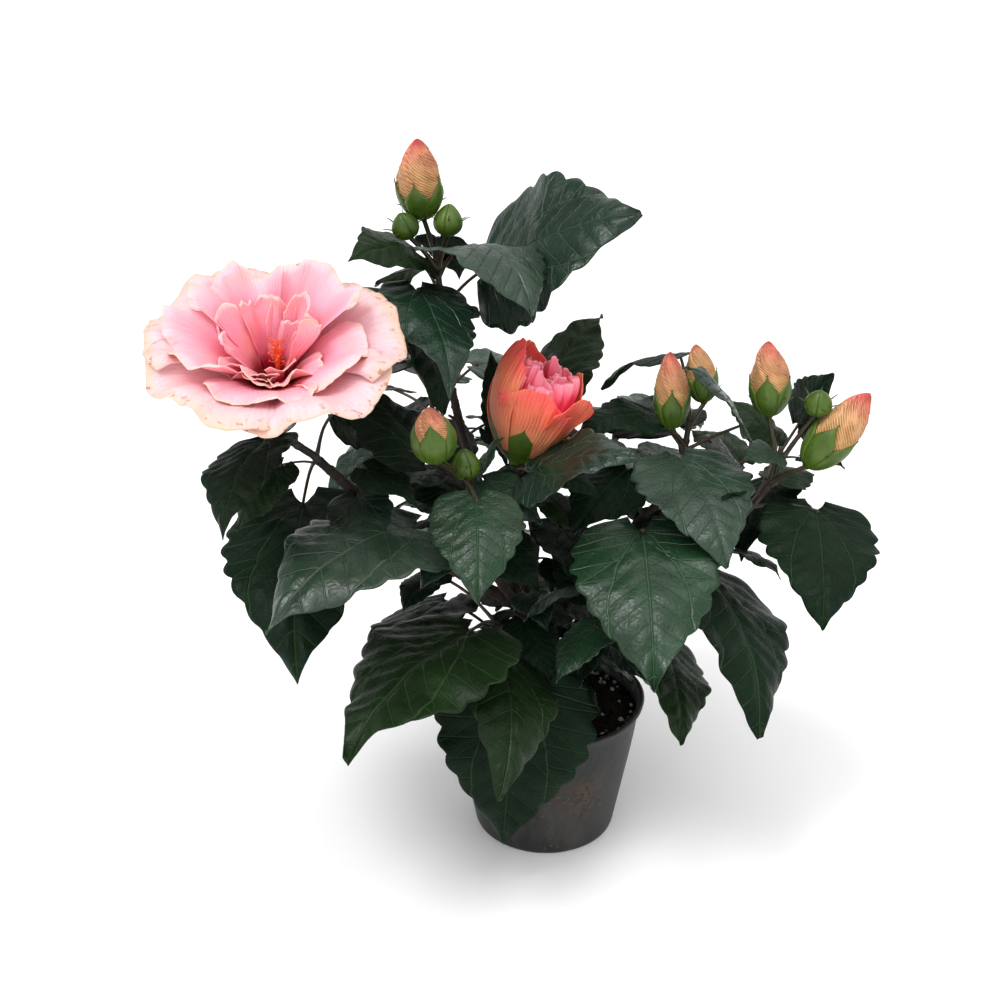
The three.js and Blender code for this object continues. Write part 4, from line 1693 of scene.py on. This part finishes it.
@dataclass(frozen=True)
class OpenBloom(Bloom):
    """The fully open bloom: rings of ruffled petals, and small ones that crowd one side of the throat."""

    rings: tuple[Ring, ...] = OPEN_RINGS
    sunk: float = 3
    style: float = 56
    stamens: int = 26
    wall: float = 0.35

    def plain(self, index: float, s: float, u: float = 0) -> Vector:
        """The point of an outer petal before it is ruffled.

        Args:
            index: Which petal it is, or a place between two of them.
            s: The share of the way along.
            u: The share of the way across.

        Returns:
            The point.
        """
        ring = self.rings[0]
        turn = math.radians(ring.turn + 360 / ring.count * index + u * ring.spread)
        wave = ring.wave * s * s * math.cos(2.5 * math.pi * u + 2 * index)
        height = self.calyx_length - self.sunk + ring.rise * s**0.6 - ring.curl * s**4 + wave
        reach = THROAT + (ring.reach - THROAT) * s * (1 - 0.16 * abs(u) ** 3)
        return self.axes.round(turn, reach, height)

    def point(self, petal: OpenPetal, s: float, u: float) -> Vector:
        """The point of a petal.

        Args:
            petal: The petal.
            s: The share of the way along.
            u: The share of the way across.

        Returns:
            The point.
        """
        reach = petal.reach(s, u)
        height = self.calyx_length - self.sunk + petal.height(s, u, reach)
        frill = 0.45 * crinkle(s, u, petal.key + 3, petal.ring.frill)
        return self.axes.round(petal.turn(s, u), reach - frill, height)

    def petals(self) -> bmesh.types.BMesh:
        """The petals. The outer ring has the first material, and the rest have the second.

        Returns:
            The mesh.
        """
        bm = bmesh.new()
        for number, ring in enumerate(self.rings):
            for i in range(ring.count):
                petal = OpenPetal(ring, number, i)
                sheet(bm, 44, 40, partial(self.point, petal), material=min(number, 1))
        return bm

    def styles(self) -> bmesh.types.BMesh:
        """The style with its stamens, each of which ends in a knob.

        Returns:
            The mesh.
        """
        bm, axes = bmesh.new(), self.axes
        line = Curve([axes.point(t * self.style, 3 * math.sin(2 * t), 4 * t * t) for t in (0, 0.35, 0.7, 1)])
        tube(bm, line, Taper(1.8, 1.1, 0.15), 10, 30)
        for i in range(self.stamens):
            base = line.at(0.68 + 0.012 * i)
            way = direction(137 * i, 20 + 20 * math.sin(i)) * 4.5 + axes.d * 1.5
            tube(bm, Curve([base, base + way * 0.5, base + way]), Taper(0.25, 0.25, flare_end=2.6), 5, 6)
        return bm

    def make(self, palette: Palette, mass: str) -> None:
        """Makes the petals and the style.

        Args:
            palette: The finishes.
            mass: The name of the mass that carries the bloom.
        """
        pinks = palette.of(OPEN_OUTER, OPEN_INNER)
        Piece("open_petals", "petal_pink", (mass,), pinks).make(self.petals(), self.wall)
        Piece("open_style", "style", (mass,), palette.of(STYLE)).make(self.styles())


@dataclass(frozen=True)
class OpeningBloom(Bloom):
    """The opening bloom: outer petals wrapped into a barrel, and a ruffled mouth within it.

    Each outer petal has its height, as a share of the barrel's, and how far its edge falls open in
    millimetres. Each ring of the mouth has its count, its reach and its rise.
    """

    barrel: float = 26
    barrel_height: float = 62
    step: float = 72
    half: float = 50
    wrapped: tuple[Pair, ...] = ((0.98, 1), (1.0, 2), (0.63, 3), (0.66, 10), (0.86, 3))
    mouth_rings: tuple[tuple[int, float, float], ...] = ((5, 21.5, 54), (4, 16, 57), (3, 9, 57))
    outer_wall: float = 0.4
    inner_wall: float = 0.35

    @property
    def floor(self) -> float:
        """The height that the petals start from."""
        return self.calyx_length * 0.4

    def swell(self, s: float) -> float:
        """The barrel's reach at a share of its height."""
        return self.barrel * math.sin(math.pi * (0.12 + 0.68 * s)) ** 0.8

    def turn(self, index: float, u: float) -> float:
        """Where an outer petal is round the bloom, in radians."""
        return math.radians(self.step * index + u * self.half)

    def plain(self, index: float, s: float, u: float = 0) -> Vector:
        """The point of an outer petal before it is ruffled.

        Args:
            index: Which petal it is, or a place between two of them.
            s: The share of the way up the barrel.
            u: The share of the way across.

        Returns:
            The point.
        """
        height = self.floor + self.barrel_height * s * (1 - 0.1 * u * u)
        return self.axes.round(self.turn(index, u), self.swell(s) + 1.2 * u + 0.8, height)

    def cup(self, s: float, reach: float) -> float:
        """The reach of a calyx lobe, from its plain reach. It is pushed out by the barrel."""
        pushed = max(reach, self.swell(max(s - 0.3, 0) * 0.4))
        return lerp(self.foot, pushed + 1.2, smooth(0, 0.35, s))

    def outer_petal(self, index: int, s: float, u: float) -> Vector:
        """The point of one wrapped outer petal, with its folds and its fallen edge.

        Args:
            index: Which petal it is.
            s: The share of the way along.
            u: The share of the way across.

        Returns:
            The point.
        """
        height, flap = self.wrapped[index]
        share = s * height * (1 - 0.10 * u * u + 0.05 * math.sin(4 * u + index))
        fall = flap * smooth(0.45, 1, s) ** 1.5 * (0.75 + 0.25 * math.cos(2 * u + index))
        fold = 0.8 * noise.noise(Vector((5 * u + index, 1.5 * s, index))) * s
        away = self.axes.out(self.turn(index, u)) * (fall + fold + crinkle(s, u, index, 2.4))
        return self.plain(index, share, u) + away + self.axes.d * crinkle(s, u, index + 9, 2.6)

    def mouth_petal(self, ring: int, index: int, s: float, u: float) -> Vector:
        """The point of one ruffled petal in the mouth. Those toward the front stand lower.

        Args:
            ring: Which ring it is in.
            index: Which petal of the ring it is.
            s: The share of the way along.
            u: The share of the way across.

        Returns:
            The point.
        """
        count, reach, rise = self.mouth_rings[ring]
        middle, key = 360 / count * index + 30 * ring, index + 7.7 * ring
        front = max(-self.axes.out(math.radians(middle)).y, 0)
        tall = rise * (0.98 - 0.15 * front + 0.04 * math.sin(2.4 * index + 5 * ring))
        turn = math.radians(middle + self.half * u)
        out = reach * math.sin(math.pi * (0.1 + 0.62 * s)) ** 0.7 + 2.0 * u
        spot = self.axes.round(turn, out, self.floor + tall * s * (1 - 0.16 * u * u))
        frill = self.axes.out(turn) * crinkle(s, u, key + 20, 7.0)
        return spot + self.axes.d * crinkle(s, u, key, 2.6) + frill

    def make(self, palette: Palette, mass: str) -> None:
        """Makes the wrapped petals and the mouth.

        Args:
            palette: The finishes.
            mass: The name of the mass that carries the bloom.
        """
        outer, inner = bmesh.new(), bmesh.new()
        for i in range(len(self.wrapped)):
            sheet(outer, 40, 40, partial(self.outer_petal, i))
        for ring, (count, _, _) in enumerate(self.mouth_rings):
            for i in range(count):
                sheet(inner, 40, 34, partial(self.mouth_petal, ring, i))
        coral, pink = palette.of(OPENING_OUTER), palette.of(OPENING_INNER)
        Piece("opening_petals", "petal_coral", (mass,), coral).make(outer, self.outer_wall)
        Piece("opening_mouth", "petal_pink", (mass,), pink).make(inner, self.inner_wall)


# ---- Masses of foliage ----------------------------------------------------------------------------


@dataclass(frozen=True)
class FoliageMass:
    """The growth on one limb's end, or on a sprout from the trunk.

    Its leaves and buds are the rows that Leaf.of and Bud.of read. Its leaves are dealt their tones in
    turn. Its shoots are the small leaves that grow along its stem and its limb.
    """

    name: str
    stem: tuple[Point, ...]
    radii: Pair
    limb: str = ""
    sprout: float = 0
    leaves: tuple[tuple[float, ...], ...] = ()
    buds: tuple[tuple[float, ...], ...] = ()
    bloom: Optional[Bloom] = None
    fill: Optional[Fill] = None
    dealt: tuple[int, ...] = (0, 1, 2)
    shoots: int = 6
    tries: int = 90
    clear: float = 4.0
    leaf_stalk: Pair = (1.15, 0.8)
    shoot_stalk: Pair = (0.8, 0.55)
    bud_stalk: Pair = (1.5, 1.3)
    blade_wall: float = 0.42
    calyx_wall: float = 0.5

    @property
    def curve(self) -> Curve:
        """The stem, going on from the limb's tip or starting inside the trunk.

        Returns:
            The line.
        """
        if not self.limb:
            return Curve([TRUNK.curve.at(self.sprout), *self.stem])
        bough = BOUGHS[self.limb].curve
        tip, along = bough.at(1), bough.tangent(1)
        return Curve([tip + along * 0.3, tip + along * 6, *self.stem])

    @property
    def carrier(self) -> Curve:
        """The limb that the mass grows from."""
        return BOUGHS[self.limb].curve if self.limb else TRUNK.curve

    @property
    def seed(self) -> int:
        """The seed of its short shoots."""
        return 977 + 61 * len(self.name) + int(100 * self.radii[0]) + int(self.stem[0][0] + 200)

    def placed(self) -> list[Leaf]:
        """The leaves with a place of their own."""
        return [Leaf.of(row, self.dealt[i % len(self.dealt)]) for i, row in enumerate(self.leaves)]

    def probes(self) -> list[Vector]:
        """Points all over the stem and all that has a place of its own.

        Returns:
            The points.
        """
        points = [self.curve.at(i / 20) for i in range(21)]
        for leaf in self.placed():
            points.extend(leaf.probes())
        for bud in map(Bud.of, self.buds):
            points.extend(bud.axes.point(bud.length * t, 0, 0) for t in (0, 0.5, 1))
        return points + (self.bloom.probes() if self.bloom else [])

    def small_leaf(self, run: Run, curve: Curve, tone: int) -> tuple[Vector, Leaf]:
        """The next small leaf, wherever it falls.

        Args:
            run: The numbers that choose it.
            curve: The stem.
            tone: Its tone.

        Returns:
            The joint it grows from, and the leaf.
        """
        on_limb = run.next() < 0.6
        joint = self.carrier.at(run.between(0.3, 0.7)) if on_limb else curve.at(run.between(0.1, 0.8))
        heading = run.between(0, 360)
        base = joint + direction(heading, run.between(10, 40)) * run.between(10, 16)
        row = (*base, heading + run.between(-20, 40), -run.between(0, 45), run.between(-25, 50),
               run.between(26, 24), 0.74, 0.1)
        return joint, Leaf.of(row, tone)

    def small_leaves(self, curve: Curve, taken: list[Vector]) -> list[tuple[Vector, Leaf]]:
        """The small leaves of short shoots, each kept only where it is clear of everything placed.

        Args:
            curve: The stem.
            taken: Points to keep clear of. Those of the leaves kept are added.

        Returns:
            Pairs of joint and leaf.
        """
        run, kept = Run(self.seed), []
        for _ in range(self.shoots * self.tries):
            if len(kept) == self.shoots:
                break
            joint, leaf = self.small_leaf(run, curve, len(kept) % 3)
            if all((p - q).length > self.clear for p in leaf.probes()[4:] for q in taken):
                kept.append((joint, leaf))
                taken.extend(leaf.probes())
        return kept

    def stalk(self, bm: bmesh.types.BMesh, start: Vector, end: Vector, way: Vector, radii: Pair) -> None:
        """Adds a stalk that leaves the stem at a slant and meets its leaf or bud along its way.

        Args:
            bm: The mesh it joins.
            start: Where it leaves the stem.
            end: Where it meets its leaf or bud.
            way: The direction it has there.
            radii: Its radii at both ends.
        """
        span = (end - start).length
        middle = start.lerp(end, 0.5) + Vector((0, 0, 0.05 * span)) - way * 0.04 * span
        line = Curve([start, middle, end - way * 0.8, end + way * 1.2])
        tube(bm, line, Taper(*radii, 0.1, 0.55, 0.2), 8, 26)

    def add_leaves(self, curve: Curve, taken: list[Vector], blades: bmesh.types.BMesh,
                   stalks: bmesh.types.BMesh) -> None:
        """Adds all leaves and their stalks.

        Args:
            curve: The stem.
            taken: Points that filling leaves keep clear of.
            blades: The mesh that the blades join.
            stalks: The mesh that the stalks join.
        """
        leaves = self.placed()
        if self.fill:
            leaves += self.fill.leaves(curve, taken)
        for leaf in leaves:
            leaf.add(blades)
            joint = joint_on(curve, leaf.axes.base)
            self.stalk(stalks, joint, leaf.foot(0.6), leaf.axes.d, self.leaf_stalk)
        for joint, leaf in self.small_leaves(curve, taken):
            leaf.add(blades)
            self.stalk(stalks, joint, leaf.foot(0.5), leaf.axes.d, self.shoot_stalk)

    def add_buds(self, curve: Curve, petals: bmesh.types.BMesh, calyces: bmesh.types.BMesh,
                 stalks: bmesh.types.BMesh) -> None:
        """Adds the buds and their stalks.

        Args:
            curve: The stem.
            petals: The mesh that the petals join.
            calyces: The mesh that the calyces join.
            stalks: The mesh that the stalks join.
        """
        for bud in map(Bud.of, self.buds):
            bud.add_petals(petals)
            bud.add_calyx(calyces)
            joint = joint_on(curve, bud.axes.point(1.5, 0, 0))
            self.stalk(stalks, joint, bud.axes.point(0.6, 0, 0), bud.axes.d, self.bud_stalk)

    def build(self, palette: Palette, taken: list[Vector]) -> None:
        """Makes the mass's bloom, blades, stalks, stem, buds and calyces.

        Args:
            palette: The finishes.
            taken: Points that filling leaves keep clear of.
        """
        curve, mass = self.curve, (self.name,)
        blades, stalks, stem, petals, calyces = (bmesh.new() for _ in range(5))
        self.add_leaves(curve, taken, blades, stalks)
        self.add_buds(curve, petals, calyces, stalks)
        if self.bloom:
            self.bloom.make(palette, self.name)
            self.bloom.add_calyx(calyces)
        tube(stem, curve, Bark(*self.radii, length=curve.length, relief=0.08, scar_gap=13), 16, 70)
        faces = palette.of(*(finish for tone in Tone for finish in tone.value))
        Piece(f"{self.name}_blades", "foliage", mass, faces).make(blades, self.blade_wall, True)
        Piece(f"{self.name}_stalks", "leaf_stalk", mass, palette.of(STALK)).make(stalks)
        Piece(f"{self.name}_stem", "twig", mass, palette.of(TWIG)).make(stem)
        Piece(f"{self.name}_buds", "bud", mass, palette.of(BUD_PETAL)).make(petals)
        Piece(f"{self.name}_calyces", "calyx", mass, palette.of(CALYX)).make(calyces, self.calyx_wall)


# In each dealt list, 4 is the painted-sheen tone, whose paler blade stands in for sheen.
MASSES = (
    FoliageMass(
        "leaves_top", ((-64, 5, 349), (-66, 0, 379), (-66, 0, 393)), (2.3, 1.6), "bough_top", shoots=2,
        dealt=(2, 4, 1, 1, 0),
        leaves=((-77, -4, 384, -122, 8, -28, 60, .8, .12), (-55, -8, 387, -53, -17, -8, 78, .96, .22),
                (-36, 24, 372, -32, 24, 46, 104, .96, .05), (-76, -25, 370, -72, -29, -10, 80, .66, .1),
                (-92, 0, 357, -62, -33, -30, 86, .8, .1)),
        buds=((-73, 0, 403, -117, 78, 47, 13), (-81, -8, 395, -120, 60, 16, 7),
              (-60, -8, 395, 61, 78, 18, 7.5)),
        fill=Fill(4, .1, .9, 20, 170, 74, 261)),
    FoliageMass(
        "leaves_left", ((-144, -70, 295), (-154, -73, 303)), (2.4, 1.9), "bough_left", shoots=3,
        dealt=(0, 0, 0, 2),
        leaves=((-161, -60, 305, 147, 3, 5, 58, .8, .05), (-157, -75, 298, -101, -19, 14, 76, .64, .12),
                (-148, -18, 238, -88, -32, 6, 120, .74, .1), (-128, -18, 294, 41, -38, 40, 50, .84, .1)),
        bloom=OpenBloom((-152, -71, 305), (-80, 66)), fill=Fill(3, 0, .8, 50, 150, 66, 243)),
    FoliageMass(
        "leaves_front", ((-48, -51, 262), (-52, -58, 270)), (2.1, 1.5), "bough_front", shoots=8,
        dealt=(4, 0, 3, 0, 3),
        leaves=((-75, -66, 243, -130, -10, -4, 116, .78, .14), (-70, -62, 281, 132, 22, 8, 72, .9, .08),
                (-43, -86, 269, -87, -36, 0, 64, .8, .08), (-55, -35, 251, 137, -1, -4, 62, .8, .08),
                (-43, -45, 262, -19, 62, 30, 32, .6, .08)),
        buds=((-64, -84, 288, -178, 83, 33, 12), (-48, -60, 269, 167, 81, 18, 7.5))),
    FoliageMass(
        "leaves_centre", ((-17, -22, 254), (-22, -29, 265)), (2.3, 2.1), "bough_centre", shoots=8,
        dealt=(0, 2, 1, 0),
        leaves=((-25, 14, 267, 143, 77, -60, 54, .5, .05), (-5, 22, 289, 49, 34, -6, 74, .8, .08),
                (-14, -53, 270, -30, 20, 18, 72, .84, .08), (-17, -20, 257, -98, -26, 5, 36, .8, .1)),
        bloom=OpeningBloom((-22, -30, 266), (30, 69)), fill=Fill(3, 0, .7, 30, 120, 66, 25)),
    FoliageMass(
        "leaves_right", ((80, -2, 254), (82, -2, 270), (84, 2, 282)), (2.5, 1.7), "bough_right", shoots=9,
        dealt=(0, 1, 0, 4, 0, 2),
        leaves=((80, 20, 316, 153, -27, 5, 60, .7, .12), (113, -14, 284, -154, 45, -20, 60, .8, .1),
                (60, 6, 285, -150, -6, -10, 52, .8, .12), (75, -28, 270, -74, -28, 0, 80, .86, .1),
                (48, 0, 251, -126, -21, -8, 62, .84, .1), (124, 28, 245, 132, 12, 0, 48, .8, .08)),
        buds=((72, -8, 280, 100, 85, 47, 10.5), (93, 8, 291, 100, 62, 36, 9.5)),
        fill=Fill(4, 0, .9, 20, 130, 74, 54)),
    FoliageMass(
        "leaves_outer", ((117, -25, 233), (131, -30, 259), (134, -28, 276)), (2.3, 1.6), "bough_outer",
        shoots=8, dealt=(0, 3, 0, 0, 0, 2),
        leaves=((154, 22, 272, -59, 59, 80, 46, .9, .05), (130, -34, 275, -140, 7, -24, 30, .8, .1),
                (143, 22, 236, -120, -27, 26, 66, .8, .1), (157, -30, 238, -97, -31, -8, 82, .84, .1),
                (94, -40, 200, -78, -29, -28, 108, .78, .1), (139, 6, 264, 141, 33, 0, 44, .8, .08)),
        buds=((127, -20, 292, 87, 76, 44, 12), (150, -38, 300, -90, 72, 16, 7),
              (145, -44, 270, 7, 50, 55, 13)),
        fill=Fill(4, 0, .9, 40, 130, 60, 2)),
    FoliageMass(
        "leaves_low_left", ((-24, -20, 138), (-32, -28, 160)), (2.4, 1.6), sprout=.34, shoots=15,
        dealt=(2, 0, 2, 0, 0),
        leaves=((-46, -72, 179, -130, -16, 5, 112, .86, .1), (-64, 12, 156, -124, -17, 18, 88, .8, .1),
                (-33, -56, 160, -86, -25, -30, 102, .68, .12),
                (-18, -54, 138, -105, -68, -8, 104, .92, .06), (-69, -30, 196, -122, -12, 8, 38, .8, .05))),
    FoliageMass(
        "leaves_low_right", ((22, -24, 136), (32, -34, 172), (36, -38, 208)), (2.6, 1.6), sprout=.2,
        shoots=14, dealt=(3, 2, 0, 3, 0, 0),
        leaves=((51, -60, 239, -88, -33, 4, 102, .8, .1), (70, -30, 149, -85, -26, -28, 72, .76, .1),
                (35, -30, 160, -116, -27, 35, 46, .75, .08), (28, -66, 179, -136, -28, 8, 44, .8, .08),
                (7, 0, 215, -72, -27, -18, 60, .8, .1), (24, -22, 175, 115, 40, 0, 56, .6, .06))),
    FoliageMass(
        "leaves_back_left", ((-73, 73, 258), (-77, 77, 284)), (2.1, 1.4), "bough_back_left",
        fill=Fill(8, 0, 1, 25, 165, 84, 223)),
    FoliageMass(
        "leaves_back_right", ((44, 88, 222), (48, 93, 242)), (2.1, 1.4), "bough_back_right",
        fill=Fill(8, 0, 1, -20, 175, 78, 87)),
    FoliageMass(
        "leaves_low_back", ((6, 26, 132), (2, 38, 166)), (2.4, 1.5), sprout=.15, shoots=12,
        fill=Fill(7, .35, 1, 5, 170, 92, 141)),
)


@dataclass(frozen=True)
class Sun:
    """A soft far light. It shines from source, and spread is the breadth of its disc in degrees."""

    name: str
    source: Point
    strength: float
    spread: float

    def build(self) -> None:
        """Makes the light."""
        data = bpy.data.lights.new(self.name, "SUN")
        data.energy, data.angle = self.strength, math.radians(self.spread)
        made = bpy.data.objects.new(self.name, data)
        made.rotation_euler = Vector(self.source).to_track_quat("Z", "Y").to_euler()
        bpy.context.collection.objects.link(made)


@dataclass(frozen=True)
class Studio:
    """A pale floor, soft lights and the camera, in metres."""

    floor_half: float = 60
    camera_at: Point = (-0.030, -0.764, 0.555)
    tilt: float = 67.0
    lens: float = 48.6
    sensor: float = 36
    suns: tuple[Sun, ...] = (
        Sun("sky_light", (-0.28, -0.50, 1.0), 2.1, 75),
        Sun("window_light", (-0.34, -0.42, 1.0), 1.15, 18),
        Sun("side_light", (0.7, -0.2, 1.0), 0.9, 60),
        Sun("back_light", (0.3, 0.8, 0.9), 0.6, 60),
    )

    def floor(self) -> None:
        """Makes the floor."""
        bm = bmesh.new()
        bmesh.ops.create_grid(bm, x_segments=1, y_segments=1, size=self.floor_half)
        pale = Nodes("floor_white", 0.9, 0.1)
        pale.paint(pale.mix(pale.noise(3, 2), (0.90, 0.90, 0.90), (0.93, 0.93, 0.93)))
        linked("floor", bm, [pale.material])

    def backdrop(self) -> bpy.types.World:
        """The world: white at the horizon, falling to a soft grey overhead.

        Returns:
            The world.
        """
        world = bpy.data.worlds.new("studio")
        world.use_nodes = True
        tree = world.node_tree
        split = tree.nodes.new("ShaderNodeSeparateXYZ")
        tree.links.new(tree.nodes.new("ShaderNodeTexCoord").outputs["Generated"], split.inputs[0])
        fade = tree.nodes.new("ShaderNodeMapRange")
        for i, value in enumerate((0.20, 0.50, 0.95, 0.22), 1):
            fade.inputs[i].default_value = value
        tree.links.new(split.outputs[2], fade.inputs[0])
        tree.links.new(fade.outputs[0], tree.nodes["Background"].inputs[1])
        tree.nodes["Background"].inputs[0].default_value = (1, 1, 1, 1)
        return world

    def camera(self) -> bpy.types.Object:
        """The camera, before the plant and above it.

        Returns:
            The camera.
        """
        data = bpy.data.cameras.new("camera")
        data.lens, data.sensor_width, data.clip_start = self.lens, self.sensor, 0.01
        camera = bpy.data.objects.new("camera", data)
        camera.location = self.camera_at
        camera.rotation_euler = (math.radians(self.tilt), 0, 0)
        bpy.context.collection.objects.link(camera)
        return camera

    def build(self) -> None:
        """Makes the floor, the lights, the sky and the camera."""
        self.floor()
        for sun in self.suns:
            sun.build()
        scene = bpy.context.scene
        scene.world = self.backdrop()
        scene.view_settings.view_transform = "Standard"
        scene.camera = self.camera()


def taken_points() -> list[Vector]:
    """Points on the wood and on all placed growth.

    Returns:
        The points.
    """
    limbs = [TRUNK, *BOUGHS.values()]
    points = [limb.curve.at(i / 20) for limb in limbs for i in range(21)]
    for mass in MASSES:
        points.extend(mass.probes())
    return points


def main() -> None:
    """Builds the plant from the pot up, then the studio."""
    logging.basicConfig(level=logging.INFO, format="%(name)s %(message)s", stream=sys.stdout)
    palette = Palette()
    Pot().build(palette)
    Compost().build(palette)
    Wood().build(palette)
    taken = taken_points()
    for mass in MASSES:
        mass.build(palette, taken)
    Studio().build()
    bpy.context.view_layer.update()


if __name__ == "__main__":
    main()
